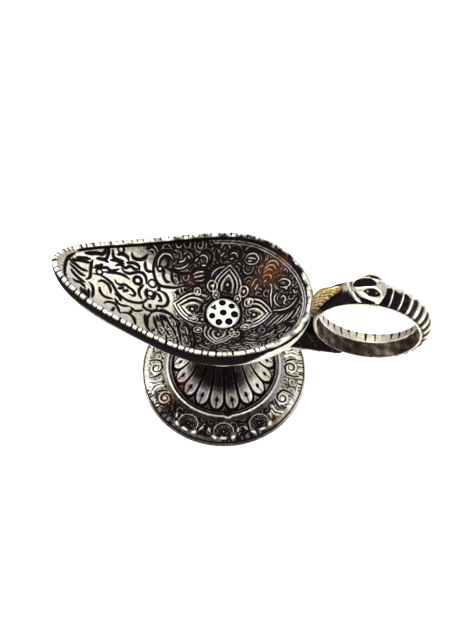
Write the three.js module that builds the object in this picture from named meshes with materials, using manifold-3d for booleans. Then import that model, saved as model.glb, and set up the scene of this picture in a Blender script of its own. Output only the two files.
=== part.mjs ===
// A boat-shaped oil lamp (diya) of cast white metal on a round pedestal, with a ring handle in the
// form of a serpent. Millimetres, +Z up. +X runs towards the handle and the spout points along -X.
// The origin is at the middle of the object's box, on the surface that the foot stands on.
import * as THREE from "three";
import { mergeVertices } from "three/addons/utils/BufferGeometryUtils.js";
import Module from "manifold-3d";

const wasm = await Module();
wasm.setup();

// ---- Driving dimensions. X is measured from the pedestal's axis. ----
const GAP = 0.3; // clearance between neighbouring pieces

const SPOUT_X = -49.7; // tip of the spout
const BACK_X = 26.2; // back of the rim
const RIM_HARMONICS = [19.4, 3.6, 0, -0.4, 0, 0.15]; // half-width of the rim as a sine series
const RIM_Z = 49.6;
const SPOUT_RISE = 7.6; // how far the rim sweeps up at the spout
const CAMBER = 2.15; // how far the rim of the round part bows up
const CAMBER_X = 12; // where it is highest
const CAMBER_FRONT = 26; // from there to where the bow would die out, towards the spout
const CAMBER_BACK = 28; // and towards the handle
const LIP_WIDTH = 1.9;
const FLOOR_Z = 36.8; // lowest point of the dish inside the bowl, on the pedestal's axis
const FLOOR_THICKNESS = 2.4;
const DISH_ROUNDING = 0.2; // how much of the cone-like dish is rounded off in the middle
const INNER_STEEP = { part: 0.14, power: 16 }; // the steep part of the wall under the lip, inside
const OUTER_STEEP = { part: 0.42, power: 30 }; // and outside
const SEAT_RADIUS = 10.4; // round boss under the bowl, which the pedestal carries
const SEAT_Z = 33.8;
const SEAT_TOP_Z = 38.5; // where the boss's side has met the bowl's underside all round

const FOOT_RADIUS = 26.2;
const REST_INNER_RADIUS = 22.8; // inner edge of the flat ring that the foot stands on
const WEB_Z = 15; // underside of the web that the nut pulls against
const PETALS = 18;
const PETAL_RELIEF = 0.4;

const BOLT_RADIUS = 2;
const BORE_RADIUS = BOLT_RADIUS + GAP;
const POD_RADIUS = 5.1;
const POD_HEIGHT = 1.8;
const POD_SEAT_Z = 36.9; // floor of the round recess that the pod sits in
const SEED_CIRCLE = 3.4;
const SEEDS = 7;
const SEED_RADIUS = 0.95;
const SEED_DEPTH = 0.8;
const WASHER_RADIUS = 4.5;
const WASHER_THICKNESS = 0.8;
const NUT_FLATS = 7;
const NUT_THICKNESS = 3.2;

const RING_X = 42.3;
const RING_Z = 46.1;
const RING_INNER_RADIUS = 14.5; // takes one finger
const RING_WIDTH = 7.6;
const RING_THICKEST = 3.5; // on the far side from the bowl
const RING_THINNEST = 1.3; // next to the bowl
const RIBS = 35;
const RIB_RELIEF = 0.22;

const HEAD_ANGLE = 94.6; // degrees round the ring, from +X towards +Z
const HEAD_LENGTH = 9.8;
const HEAD_WIDTH = 9.0;
const HEAD_HEIGHT = 4.4; // from its widest level to the top of the skull
const HEAD_DROP = 1.6; // from its widest level to its underside, which straddles the ring
const HEAD_SINK = 0.5; // how far its widest level lies below the ring's crown

const LEAF_FROM = 167; // degrees round the ring
const LEAF_TO = 121;
const LEAF_WIDTH = 7.2;
const LEAF_THICKNESS = 1.1;

const TAIL_WIDTH = 6;

// ---- Small helpers ----
const radians = THREE.MathUtils.degToRad;
const lerp = THREE.MathUtils.lerp;

// A closed geometry as a solid: shared vertices are merged and collapsed triangles are dropped.
function solidOf(geometry) {
  const bare = geometry.index ? geometry.toNonIndexed() : geometry.clone();
  bare.deleteAttribute("normal");
  bare.deleteAttribute("uv");
  const merged = mergeVertices(bare, 1e-4);
  const index = merged.index.array;
  const triangles = [];
  for (let i = 0; i < index.length; i += 3) {
    const [a, b, c] = index.slice(i, i + 3);
    if (a !== b && b !== c && c !== a) triangles.push(a, b, c);
  }
  const vertProperties = merged.attributes.position.array;
  const triVerts = new Uint32Array(triangles);
  return new wasm.Manifold(new wasm.Mesh({ numProp: 3, vertProperties, triVerts }));
}

function geometryOf(solid) {
  const mesh = solid.getMesh();
  const geometry = new THREE.BufferGeometry();
  geometry.setAttribute("position", new THREE.BufferAttribute(mesh.vertProperties, 3));
  geometry.setIndex(new THREE.BufferAttribute(mesh.triVerts, 1));
  geometry.computeVertexNormals();
  return geometry;
}

// Moves each vertex to where place(vertex) says.
function bend(geometry, place) {
  const position = geometry.attributes.position;
  const vertex = new THREE.Vector3();
  for (let i = 0; i < position.count; i++) {
    const moved = place(vertex.fromBufferAttribute(position, i));
    position.setXYZ(i, moved.x, moved.y, moved.z);
  }
  return geometry;
}

// A lathe whose section changes as it turns: place(angle, station) gives each point of its skin.
function turned(stations, segments, place) {
  const profile = stations.map((_, i) => new THREE.Vector2(1, i));
  const geometry = new THREE.LatheGeometry(profile, segments);
  const position = geometry.attributes.position;
  for (let i = 0; i <= segments; i++) {
    const angle = ((i % segments) / segments) * 2 * Math.PI;
    stations.forEach((station, j) => {
      const point = place(angle, station);
      position.setXYZ(i * stations.length + j, point.x, point.y, point.z);
    });
  }
  return geometry;
}

// A plain lathe about +Z from [radius, z] points, going round the section anticlockwise.
function lathed(points, segments) {
  const profile = points.map(([radius, z]) => new THREE.Vector2(radius, z));
  return new THREE.LatheGeometry(profile, segments).rotateX(Math.PI / 2);
}

function upright(radius, fromZ, toZ, segments) {
  const geometry = new THREE.CylinderGeometry(radius, radius, toZ - fromZ, segments);
  return geometry.rotateX(Math.PI / 2).translate(0, 0, (fromZ + toZ) / 2);
}

// ---- The bowl ----
// The rim's outline seen from above, moved inwards by inset. Angle 0 is the back, 180 degrees the spout.
function rimPoint(angle, inset) {
  const halfLength = (BACK_X - SPOUT_X) / 2;
  const x = (BACK_X + SPOUT_X) / 2 + halfLength * Math.cos(angle);
  const y = RIM_HARMONICS.reduce((sum, size, i) => sum + size * Math.sin((i + 1) * angle), 0);
  const slopeX = -halfLength * Math.sin(angle);
  const slopeY = RIM_HARMONICS.reduce(
    (sum, size, i) => sum + size * (i + 1) * Math.cos((i + 1) * angle),
    0,
  );
  const length = Math.hypot(slopeX, slopeY);
  return { x: x - (inset * slopeY) / length, y: y + (inset * slopeX) / length };
}

function rimHeight(angle) {
  const { x } = rimPoint(angle, 0);
  const towardsSpout = Math.max(0, x / SPOUT_X);
  const reach = x < CAMBER_X ? CAMBER_FRONT : CAMBER_BACK;
  const bow = Math.cos((Math.PI / 2) * Math.min(1, Math.abs(x - CAMBER_X) / reach)) ** 2;
  return RIM_Z + SPOUT_RISE * towardsSpout ** 3 + CAMBER * bow;
}

// How far up the wall a point is, 0 to 1, at this share of the way from the axis to the rim: a
// cone rounded off in the middle, which turns steeply up near the rim.
function wallRise(share, steep) {
  const cone =
    (Math.hypot(share, DISH_ROUNDING) - DISH_ROUNDING) / (Math.hypot(1, DISH_ROUNDING) - DISH_ROUNDING);
  const wall = 1 - Math.sqrt(1 - share ** steep.power);
  return lerp(cone, wall, steep.part);
}

// A point of the bowl's skin: a share of the outline inset by inset, between floor and rim + lift.
function bowlPoint(angle, { share, inset, floor, lift, steep }) {
  const edge = rimPoint(angle, inset);
  const rim = rimHeight(angle) + lift;
  return { x: edge.x * share, y: edge.y * share, z: lerp(floor, rim, wallRise(share, steep)) };
}

const WALL_SHARES = [0, 0.12, 0.3, 0.5, 0.7, 0.85, 0.93, 0.97, 0.99, 0.997, 1];
const OUTER_LIFT = -0.9; // top of the wall's outside, below the lip's crown
const LIP_CREST = 0.15; // and the crown

function outerStations(outset) {
  const floor = FLOOR_Z - FLOOR_THICKNESS - outset;
  return WALL_SHARES.map((share) => ({
    share,
    inset: -outset,
    floor,
    lift: OUTER_LIFT,
    steep: OUTER_STEEP,
  }));
}

function bowlGeometry() {
  const lip = [
    [0.2, -0.35],
    [0.6, 0.05],
    [1.1, LIP_CREST],
    [1.6, -0.05],
  ].map(([inset, lift]) => ({ share: 1, inset, floor: 0, lift, steep: INNER_STEEP }));
  const inner = WALL_SHARES.toReversed().map((share) => ({
    share,
    inset: LIP_WIDTH,
    floor: FLOOR_Z,
    lift: -0.5,
    steep: INNER_STEEP,
  }));
  const shell = solidOf(turned([...outerStations(0), ...lip, ...inner], 72, bowlPoint));
  const recess = solidOf(upright(POD_RADIUS + GAP, POD_SEAT_Z, RIM_Z, 36));
  const bore = solidOf(upright(BORE_RADIUS, SEAT_Z - 1, RIM_Z, 24));
  return geometryOf(shell.add(seatBoss(0)).subtract(recess).subtract(bore));
}

// The boss under the bowl, grown by outset. Its dished top ends inside the thickness of the bowl.
function seatBoss(outset) {
  const coreZ = FLOOR_Z - 0.6;
  const profile = [
    [0, SEAT_Z - outset],
    [SEAT_RADIUS + outset, SEAT_Z - outset],
    [SEAT_RADIUS + outset, SEAT_TOP_Z],
    [SEAT_RADIUS / 2, coreZ],
    [0, coreZ],
  ];
  return solidOf(lathed(profile, 48));
}

// The bowl's outside, grown by the clearance and filled in, for cutting its neighbours.
function bowlEnvelope() {
  const stations = outerStations(GAP);
  const top = { ...stations.at(-1), lift: LIP_CREST + GAP };
  const lid = { share: 0, inset: 0, floor: RIM_Z, lift: 0, steep: OUTER_STEEP };
  return solidOf(turned([...stations, top, lid], 72, bowlPoint)).add(seatBoss(GAP));
}

// ---- The pedestal ----
// Stations of its section: radius, height, and how deep the petals cut there.
const HOLLOW = [
  [BORE_RADIUS, WEB_Z],
  [6.6, WEB_Z],
  [7, 13],
  [10, 8],
  [13.5, 4],
  [17.5, 2],
  [22, 0.9],
  [REST_INNER_RADIUS, 0],
];
const FLANGE = [
  [FOOT_RADIUS, 0],
  [FOOT_RADIUS, 1.1],
  [25.5, 1.6],
  [19, 3.1],
];
const RIDGE = [
  [18.4, 3.7],
  [18, 4.7],
  [17.4, 5],
  [16.8, 4.6],
  [16.5, 3.8],
];
const PETAL_CONE = [
  [15.9, 4.1, 1],
  [15.1, 5.5, 1],
  [13, 7.3, 0.8],
  [11, 9.9, 0.7],
  [9.5, 13.2, 0.6],
  [8.4, 17, 0.5],
  [7.8, 20, 0],
];
const NECK = [
  [8.7, 20.6],
  [9.1, 21.6],
  [8.7, 22.6],
  [7.9, 23.2],
  [8.3, 27.5],
  [9.4, 31.4],
  [SEAT_RADIUS, 32.8],
  [SEAT_RADIUS, SEAT_Z - GAP],
  [BORE_RADIUS, SEAT_Z - GAP],
];

function pedestalGeometry() {
  const section = [...HOLLOW, ...FLANGE, ...RIDGE, ...PETAL_CONE, ...NECK, HOLLOW[0]];
  return turned(section, PETALS * 4, (angle, [radius, z, depth = 0]) => {
    const fluted = radius - depth * PETAL_RELIEF * (1 - Math.cos(PETALS * angle));
    return { x: fluted * Math.cos(angle), y: fluted * Math.sin(angle), z };
  });
}

function pedestalEnvelope() {
  const outline = NECK.slice(0, -1).map(([radius, z]) => [radius + GAP, z]);
  return solidOf(lathed([[0, 20], ...outline, [0, SEAT_Z]], 48));
}

// ---- The bolt through the middle, with its washer and nut ----
function podBoltGeometry() {
  const seatZ = POD_SEAT_Z + GAP;
  const topZ = seatZ + POD_HEIGHT;
  const tipZ = WEB_Z - GAP - WASHER_THICKNESS - GAP - NUT_THICKNESS - 1.6;
  const profile = [
    [0, tipZ],
    [BOLT_RADIUS - 0.4, tipZ],
    [BOLT_RADIUS, tipZ + 0.4],
    [BOLT_RADIUS, seatZ],
    [POD_RADIUS, seatZ],
    [POD_RADIUS, topZ - 0.7],
    [POD_RADIUS - 0.5, topZ - 0.25],
    [0, topZ],
  ];
  let bolt = solidOf(lathed(profile, 36));
  const seed = (x, y) =>
    solidOf(upright(SEED_RADIUS, topZ - SEED_DEPTH, topZ + 1, 12).translate(x, y, 0));
  bolt = bolt.subtract(seed(0, 0));
  for (let i = 0; i < SEEDS; i++) {
    const angle = (i / SEEDS) * 2 * Math.PI;
    bolt = bolt.subtract(seed(SEED_CIRCLE * Math.cos(angle), SEED_CIRCLE * Math.sin(angle)));
  }
  return geometryOf(bolt);
}

function washerGeometry() {
  const topZ = WEB_Z - GAP;
  const profile = [
    [BORE_RADIUS, topZ - WASHER_THICKNESS],
    [WASHER_RADIUS, topZ - WASHER_THICKNESS],
    [WASHER_RADIUS, topZ],
    [BORE_RADIUS, topZ],
    [BORE_RADIUS, topZ - WASHER_THICKNESS],
  ];
  return lathed(profile, 32);
}

function nutGeometry() {
  const topZ = WEB_Z - GAP - WASHER_THICKNESS - GAP;
  const cornerRadius = NUT_FLATS / Math.sqrt(3);
  const shape = new THREE.Shape();
  for (let i = 0; i < 6; i++) {
    const angle = (i / 6) * 2 * Math.PI;
    shape.lineTo(cornerRadius * Math.cos(angle), cornerRadius * Math.sin(angle));
    if (i === 0) shape.curves.length = 0;
  }
  shape.closePath();
  const bore = new THREE.Path();
  bore.absarc(0, 0, BORE_RADIUS, 0, 2 * Math.PI, true);
  shape.holes.push(bore);
  const options = { depth: NUT_THICKNESS, bevelEnabled: false, curveSegments: 12 };
  return new THREE.ExtrudeGeometry(shape, options).translate(0, 0, topZ - NUT_THICKNESS);
}

// ---- The handle ring: the serpent's body, thin beside the bowl and thick on the far side ----
// 0 beside the bowl, 1 on the far side of the ring.
function awayFromBowl(angle) {
  return Math.sqrt(0.5 + 0.5 * Math.cos(angle));
}

function ringThickness(angle) {
  return lerp(RING_THINNEST, RING_THICKEST, awayFromBowl(angle));
}

// A point beside the ring: its angle, its distance from the ring's middle and its place across the band.
function ringPoint(angle, radius, across) {
  return {
    x: RING_X + radius * Math.cos(angle),
    y: across,
    z: RING_Z + radius * Math.sin(angle),
  };
}

// Stations of the band's section: share of the thickness and share of the half-width.
const BAND = [
  [0, 0],
  [0.13, 0.94],
  [0.34, 1],
  [0.56, 0.92],
  [0.86, 0.56],
  [1, 0],
  [0.86, -0.56],
  [0.56, -0.92],
  [0.34, -1],
  [0.13, -0.94],
  [0, 0],
];

// The ring's skin, grown all round by outset.
function ringSkin(outset) {
  return turned(BAND, RIBS * 2, (angle, [depth, side]) => {
    const rib = RIB_RELIEF * Math.cos(RIBS * angle) * awayFromBowl(angle) * depth;
    const radius = RING_INNER_RADIUS - outset + depth * (ringThickness(angle) + 2 * outset) + rib;
    return ringPoint(angle, radius, side * (RING_WIDTH / 2 + outset));
  });
}

// ---- The serpent's head, lying on the ring's crown and facing the bowl ----
function headGeometry() {
  const middle = RING_INNER_RADIUS + ringThickness(radians(HEAD_ANGLE)) - HEAD_SINK;
  const head = bend(new THREE.SphereGeometry(1, 28, 18), ({ x, y, z }) => {
    const snout = Math.max(0, -x);
    const width = (HEAD_WIDTH / 2) * (1 - 0.3 * snout ** 2);
    const height = z > 0 ? HEAD_HEIGHT * (1 - 0.2 * snout ** 2) : HEAD_DROP;
    const angle = radians(HEAD_ANGLE) - (x * HEAD_LENGTH) / 2 / middle;
    return ringPoint(angle, middle + z * height, y * width);
  });
  return geometryOf(solidOf(head).subtract(solidOf(ringSkin(GAP))));
}

// ---- The brass leaf over the ring's shoulder, between the rim and the head ----
// How far the ring's outer face falls away at this place across the band.
function crownDrop(angle, across) {
  return 0.52 * ringThickness(angle) * (across / (RING_WIDTH / 2)) ** 2;
}

function leafGeometry() {
  const length = radians(LEAF_FROM - LEAF_TO) * (RING_INNER_RADIUS + RING_THINNEST);
  const strip = new THREE.BoxGeometry(LEAF_WIDTH, LEAF_THICKNESS, length, 8, 1, 12);
  const leaf = bend(strip, ({ x, y, z }) => {
    const along = Math.max(0, 0.5 - z / length);
    const angle = radians(lerp(LEAF_FROM, LEAF_TO, along));
    const across = x * (1 - 0.85 * along ** 1.6);
    const crown = RING_INNER_RADIUS + ringThickness(angle) + RIB_RELIEF + GAP;
    const above = y + LEAF_THICKNESS / 2;
    return ringPoint(angle, crown + above - crownDrop(angle, across), -across);
  });
  return geometryOf(solidOf(leaf).subtract(bowlEnvelope()));
}

// ---- The tail: a bracket from the ring's lower side to the bowl's underside and the pedestal ----
function tailGeometry() {
  const shape = new THREE.Shape();
  shape.moveTo(36, 28.6);
  shape.quadraticCurveTo(24, 27.4, 8, 25.6);
  shape.lineTo(8, 36);
  shape.lineTo(20, 42);
  shape.lineTo(29, 38);
  shape.quadraticCurveTo(31, 32, 37, 31);
  shape.closePath();
  const options = { depth: TAIL_WIDTH, bevelEnabled: false, curveSegments: 8 };
  const blank = new THREE.ExtrudeGeometry(shape, options).rotateX(Math.PI / 2);
  return geometryOf(
    solidOf(blank.translate(0, TAIL_WIDTH / 2, 0))
      .subtract(bowlEnvelope())
      .subtract(pedestalEnvelope())
      .subtract(solidOf(ringSkin(GAP))),
  );
}

// ---- Materials ----
function whiteMetal() {
  return new THREE.MeshStandardMaterial({ color: 0xc9c5b8, roughness: 0.32, metalness: 1 });
}

function polishedMetal() {
  return new THREE.MeshStandardMaterial({ color: 0xd6d4cc, roughness: 0.2, metalness: 1 });
}

function leafBrass() {
  return new THREE.MeshStandardMaterial({ color: 0xb08d3e, roughness: 0.35, metalness: 1 });
}

function platedSteel() {
  return new THREE.MeshStandardMaterial({ color: 0x9a9c9f, roughness: 0.4, metalness: 1 });
}

// ---- The assembly ----
function named(name, geometry, material) {
  const mesh = new THREE.Mesh(geometry, material);
  mesh.name = name;
  return mesh;
}

const lamp = new THREE.Group();
lamp.add(
  named("bowl", bowlGeometry(), whiteMetal()),
  named("pedestal", pedestalGeometry(), whiteMetal()),
  named("seed_pod_bolt", podBoltGeometry(), polishedMetal()),
  named("tie_washer", washerGeometry(), platedSteel()),
  named("tie_nut", nutGeometry(), platedSteel()),
  named("handle_ring", ringSkin(0), whiteMetal()),
  named("serpent_head", headGeometry(), polishedMetal()),
  named("leaf_lug", leafGeometry(), leafBrass()),
  named("tail_bracket", tailGeometry(), whiteMetal()),
);

// The pedestal's axis sits where the whole object's box has its middle at the origin.
lamp.position.x = -(SPOUT_X + RING_X + RING_INNER_RADIUS + RING_THICKEST + RIB_RELIEF) / 2;

const part = new THREE.Group();
part.add(lamp);

export default part;
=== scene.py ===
import math
import bmesh
import bpy
import numpy as np
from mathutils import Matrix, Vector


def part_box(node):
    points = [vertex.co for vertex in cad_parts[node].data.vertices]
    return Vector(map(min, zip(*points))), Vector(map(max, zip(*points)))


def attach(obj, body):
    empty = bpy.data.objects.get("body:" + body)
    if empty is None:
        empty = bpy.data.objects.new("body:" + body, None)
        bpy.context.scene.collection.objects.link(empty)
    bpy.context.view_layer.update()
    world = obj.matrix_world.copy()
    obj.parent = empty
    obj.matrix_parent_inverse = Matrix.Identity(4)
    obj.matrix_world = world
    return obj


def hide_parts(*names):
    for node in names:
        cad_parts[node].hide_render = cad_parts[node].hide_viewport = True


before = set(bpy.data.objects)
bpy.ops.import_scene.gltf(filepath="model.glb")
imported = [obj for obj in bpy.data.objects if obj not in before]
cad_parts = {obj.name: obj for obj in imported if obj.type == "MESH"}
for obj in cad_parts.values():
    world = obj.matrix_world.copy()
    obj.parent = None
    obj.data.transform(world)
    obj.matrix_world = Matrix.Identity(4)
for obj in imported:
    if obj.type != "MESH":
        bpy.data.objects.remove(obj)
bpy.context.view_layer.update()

# Everything below is in millimetres from the pedestal's axis, on the surface the lamp stands on.
# to_metres() puts it in the row frame.
MM = 0.001
pedestal_low, pedestal_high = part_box("pedestal")
AXIS_X = (pedestal_low.x + pedestal_high.x) / 2
random = np.random.default_rng(7)


def to_metres(points):
    return np.asarray(points, float) * MM + np.array([AXIS_X, 0, 0])


# ---------------------------------------------------------------- camera, lights and floor
CAMERA_ELEVATION = 61.25
CAMERA_AZIMUTH = 8.92
CAMERA_DISTANCE = 391
CAMERA_TARGET = (1.8, 1.45, 32.2)
CAMERA_LENS = 73.125


def look_at(obj, place, target):
    obj.location = to_metres(place)
    direction = obj.location - Vector(to_metres(target))
    obj.rotation_euler = direction.to_track_quat("Z", "Y").to_euler()


def add_camera():
    elevation, azimuth = math.radians(CAMERA_ELEVATION), math.radians(CAMERA_AZIMUTH)
    back = np.array([math.sin(azimuth) * math.cos(elevation),
                     -math.cos(azimuth) * math.cos(elevation), math.sin(elevation)])
    data = bpy.data.cameras.new("camera")
    data.lens = CAMERA_LENS
    data.sensor_width = 36
    data.clip_start = 0.01
    camera = bpy.data.objects.new("camera", data)
    bpy.context.scene.collection.objects.link(camera)
    look_at(camera, np.array(CAMERA_TARGET) + CAMERA_DISTANCE * back, CAMERA_TARGET)
    bpy.context.scene.camera = camera


def add_light(name, place, size, power):
    data = bpy.data.lights.new(name, "AREA")
    data.shape = "RECTANGLE"
    data.size, data.size_y = size[0] * MM, size[1] * MM
    data.energy = power
    light = bpy.data.objects.new(name, data)
    bpy.context.scene.collection.objects.link(light)
    look_at(light, place, (0, 0, 30))


def add_world(strength):
    world = bpy.data.worlds.new("studio")
    world.use_nodes = True
    background = world.node_tree.nodes["Background"]
    background.inputs["Color"].default_value = (1, 0.99, 0.97, 1)
    background.inputs["Strength"].default_value = strength
    bpy.context.scene.world = world


# ---------------------------------------------------------------- mesh helpers
def smooth_curve(points, step, closed=False):
    """Points about a step apart on a smooth curve through the control points."""
    p = np.asarray(points, float)
    if len(p) < 3 and not closed:
        n = max(2, int(np.linalg.norm(p[-1] - p[0]) / step) + 1)
        return p[0] + np.linspace(0, 1, n)[:, None] * (p[-1] - p[0])
    if closed:
        ends = np.vstack([p[-1:], p, p[:2]])
    else:
        ends = np.vstack([2 * p[0] - p[1], p, 2 * p[-1] - p[-2]])
    out = []
    for a, b, c, d in zip(ends, ends[1:], ends[2:], ends[3:]):
        n = max(1, int(np.linalg.norm(c - b) / step))
        t = np.linspace(0, 1, n, endpoint=False)[:, None]
        out.append(0.5 * (2 * b + (c - a) * t + (2 * a - 5 * b + 4 * c - d) * t**2
                          + (3 * b - a - 3 * c + d) * t**3))
    out.append(ends[-2][None])
    return np.vstack(out)


def build_mesh(name, points, faces, attributes):
    """A smooth-shaded mesh object from points in millimetres and lists of quads and triangles."""
    mesh = bpy.data.meshes.new(name)
    counts = np.concatenate([np.full(len(f), f.shape[1]) for f in faces])
    loops = np.concatenate([f.ravel() for f in faces])
    mesh.vertices.add(len(points))
    mesh.vertices.foreach_set("co", to_metres(points).astype(np.float32).ravel())
    mesh.loops.add(len(loops))
    mesh.loops.foreach_set("vertex_index", loops.astype(np.int32))
    mesh.polygons.add(len(counts))
    mesh.polygons.foreach_set("loop_start", (np.cumsum(counts) - counts).astype(np.int32))
    mesh.update(calc_edges=True)
    mesh.validate()
    mesh.shade_smooth()
    for key, values in attributes.items():
        layer = mesh.attributes.new(key, "FLOAT", "POINT")
        layer.data.foreach_set("value", np.asarray(values, np.float32))
    obj = bpy.data.objects.new(name, mesh)
    bpy.context.scene.collection.objects.link(obj)
    return obj


def grid_faces(rows, columns, wrap_rows=False):
    """Quads of a grid whose columns close on themselves; the points go row by row."""
    r = np.arange(rows if wrap_rows else rows - 1)[:, None]
    c = np.arange(columns)[None, :]
    right = (c + 1) % columns
    below = (r + 1) % rows
    quads = np.stack([r * columns + c, r * columns + right, below * columns + right, below * columns + c], -1)
    return quads.reshape(-1, 4)


def fan_faces(centre, ring, flip=False):
    """Triangles from a centre point to a closed ring of points."""
    following = np.roll(ring, -1)
    fan = np.stack([np.full(len(ring), centre), ring, following], -1)
    return fan[:, ::-1] if flip else fan


def turn_faces_out(data):
    """Makes a mesh's faces agree and point outwards."""
    mesh = bmesh.new()
    mesh.from_mesh(data)
    bmesh.ops.recalc_face_normals(mesh, faces=mesh.faces)
    mesh.to_mesh(data)
    mesh.free()


def finish_piece(name, points, faces, wear_and_painted_light, node, material, rust=0):
    """Makes a visible piece that stands for a CAD node. Each point has its wear, with painted light and shade
    mixed in, and its rust.
    """
    obj = build_mesh(name, points, faces, {"wear_and_painted_light": wear_and_painted_light, "rust": rust + 0 * wear_and_painted_light})
    turn_faces_out(obj.data)
    obj.data.materials.append(material)
    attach(obj, "root")
    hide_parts(node)


def normals_of(points, faces):
    """Smooth unit normals at the points of a mesh."""
    normals = np.zeros_like(points)
    for f in faces:
        a, b, c = points[f[:, 0]], points[f[:, 1]], points[f[:, 2]]
        n = np.cross(b - a, c - a)
        if f.shape[1] == 4:
            n = n + np.cross(c - a, points[f[:, 3]] - a)
        for k in range(f.shape[1]):
            np.add.at(normals, f[:, k], n)
    length = np.linalg.norm(normals, axis=1, keepdims=True)
    return normals / np.maximum(length, 1e-12)


def bump(distance, half_width):
    """1 on a line, falling smoothly to 0 at half_width from it."""
    return np.clip(1 - (distance / half_width) ** 2, 0, 1) ** 2


def ramp(value, low, high):
    """0 up to low, 1 from high on, and smooth between."""
    t = np.clip((value - low) / (high - low), 0, 1)
    return t * t * (3 - 2 * t)


def full_turn(count):
    """Angles once round, an even way apart."""
    return np.linspace(0, 2 * math.pi, count, endpoint=False)


def running_sum(steps):
    """0, and then the sum of the steps so far."""
    return np.concatenate([[0], np.cumsum(steps)])


def spots(x, y, places):
    """The sum of soft spots, each with its strength, its place and how far it spreads in x and in y."""
    return sum(strength * np.exp(-((x - at_x) ** 2 / wide + (y - at_y) ** 2 / deep))
               for strength, at_x, at_y, wide, deep in places)


def placed(points, bearing=0.0, stretch=(1, 1)):
    """Points stretched in X and Y, then turned about the axis."""
    c, s = math.cos(bearing), math.sin(bearing)
    x, y = (np.array(points, float) * stretch).T
    return np.stack([c * x - s * y, s * x + c * y], -1)


class Relief:
    """A plan of engraved and raised lines, drawn on a fine grid and read back anywhere."""

    def __init__(self, low, high, step=0.1):
        self.low, self.step = np.array(low, float), step
        shape = np.ceil((np.array(high) - self.low) / step).astype(int) + 1
        self.groove = np.zeros(shape)
        self.ridge = np.zeros(shape)

    def draw(self, layer, samples, half_width):
        """Stamps a soft dot of half_width at each sample; half_width may be one number or one for each."""
        half_width = np.broadcast_to(half_width, len(samples))
        reach = int(math.ceil(half_width.max() / self.step)) + 1
        offset = np.arange(-reach, reach + 1)
        place = (samples - self.low) / self.step
        cell = np.round(place).astype(int)
        ix = cell[:, 0, None, None] + offset[None, :, None]
        iy = cell[:, 1, None, None] + offset[None, None, :]
        far = np.hypot(ix - place[:, 0, None, None], iy - place[:, 1, None, None]) * self.step
        value = bump(far, half_width[:, None, None])
        ix, iy = np.broadcast_arrays(ix, iy)
        keep = (value > 0) & (ix >= 0) & (iy >= 0) & (ix < layer.shape[0]) & (iy < layer.shape[1])
        np.maximum.at(layer, (ix[keep], iy[keep]), value[keep])

    def line(self, layer, points, width):
        """A line that thins towards its two ends."""
        samples = smooth_curve(points, self.step)
        t = np.linspace(0, 1, len(samples))
        self.draw(layer, samples, width * (0.45 + 0.55 * np.clip(np.minimum(t, 1 - t) * 5, 0, 1)))

    def carve(self, points, width):
        self.line(self.groove, points, width)

    def raise_(self, points, width):
        self.line(self.ridge, points, width)

    def draw_lines(self, grooves, ridges, bearing=0.0, stretch=(1, 1)):
        """Draws tables of lines, each with its width and points, stretched and then turned."""
        for layer, lines in ((self.groove, grooves), (self.ridge, ridges)):
            for width, points in lines:
                self.line(layer, placed(points, bearing, stretch), width)

    def edge(self, points, width):
        """Darkens the ground beside a raised line."""
        samples = smooth_curve(points, self.step)
        self.draw(self.groove, samples, width)

    def ring(self, layer, centre, radius, width):
        turn = full_turn(max(8, int(2 * math.pi * radius / self.step)))
        samples = np.array(centre) + radius * np.stack([np.cos(turn), np.sin(turn)], -1)
        self.draw(layer, samples, width)

    def bead(self, centre, radius, ring=0):
        """A round bead in a groove, with a raised ring round it if ring is given."""
        self.draw(self.ridge, np.array([centre], float), radius * 1.5)
        self.ring(self.groove, centre, radius + 0.3, 0.42)
        if ring:
            self.ring(self.ridge, centre, ring, 0.4)
            self.ring(self.groove, centre, ring + 0.45, 0.4)

    def read(self, layer, x, y):
        """The layer's value at places in the plan."""
        u = np.clip((np.stack([x, y], -1) - self.low) / self.step, 0, np.array(layer.shape) - 1.001)
        i = u.astype(int)
        f = u - i
        ix, iy = i[..., 0], i[..., 1]
        fx, fy = f[..., 0], f[..., 1]
        near = layer[ix, iy] * (1 - fx) + layer[ix + 1, iy] * fx
        far = layer[ix, iy + 1] * (1 - fx) + layer[ix + 1, iy + 1] * fx
        return near * (1 - fy) + far * fy


# ---------------------------------------------------------------- materials
def node(tree, kind, **values):
    made = tree.nodes.new(kind)
    for key, value in values.items():
        if key in made.inputs:
            made.inputs[key].default_value = value
        else:
            setattr(made, key, value)
    return made


# How bright the metal is against the sum of its wear value, which also holds painted light and shade, and the
# noises; and the noises' scales and strengths.
BRIGHTNESS_STOPS = ((0.14, 0.0), (0.33, 0.032), (0.52, 0.16), (0.74, 0.5), (0.94, 1.0))
NOISES = ((130.0, 0.16), (520.0, 0.34), (1300.0, 0.36), (3000.0, 0.3))
NOISE_MIDDLE = 0.52
RUST = (0.075, 0.03, 0.014)
RUST_STAIN = (0.78, 0.46, 0.32)
PATINA_ROUGHNESS = 0.55


def add_noise(tree, coordinates, total, scale, strength):
    """A noise, and the total with the noise added to it."""
    noise = node(tree, "ShaderNodeTexNoise", Scale=scale, Detail=3.0)
    tree.links.new(coordinates.outputs["Object"], noise.inputs["Vector"])
    centred = node(tree, "ShaderNodeMath", operation="SUBTRACT")
    centred.inputs[1].default_value = NOISE_MIDDLE
    tree.links.new(noise.outputs["Fac"], centred.inputs[0])
    added = node(tree, "ShaderNodeMath", operation="MULTIPLY_ADD")
    added.inputs[1].default_value = strength
    tree.links.new(centred.outputs[0], added.inputs[0])
    tree.links.new(total, added.inputs[2])
    return noise.outputs["Fac"], added.outputs[0]


def brightness_curve(tree, total):
    curve = node(tree, "ShaderNodeValToRGB")
    stops = curve.color_ramp.elements
    for place, level in BRIGHTNESS_STOPS[1:-1]:
        stops.new(place)
    for stop, (place, level) in zip(stops, BRIGHTNESS_STOPS):
        stop.position = place
        stop.color = (level, level, level, 1)
    tree.links.new(total, curve.inputs["Fac"])
    return curve.outputs["Color"]


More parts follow.
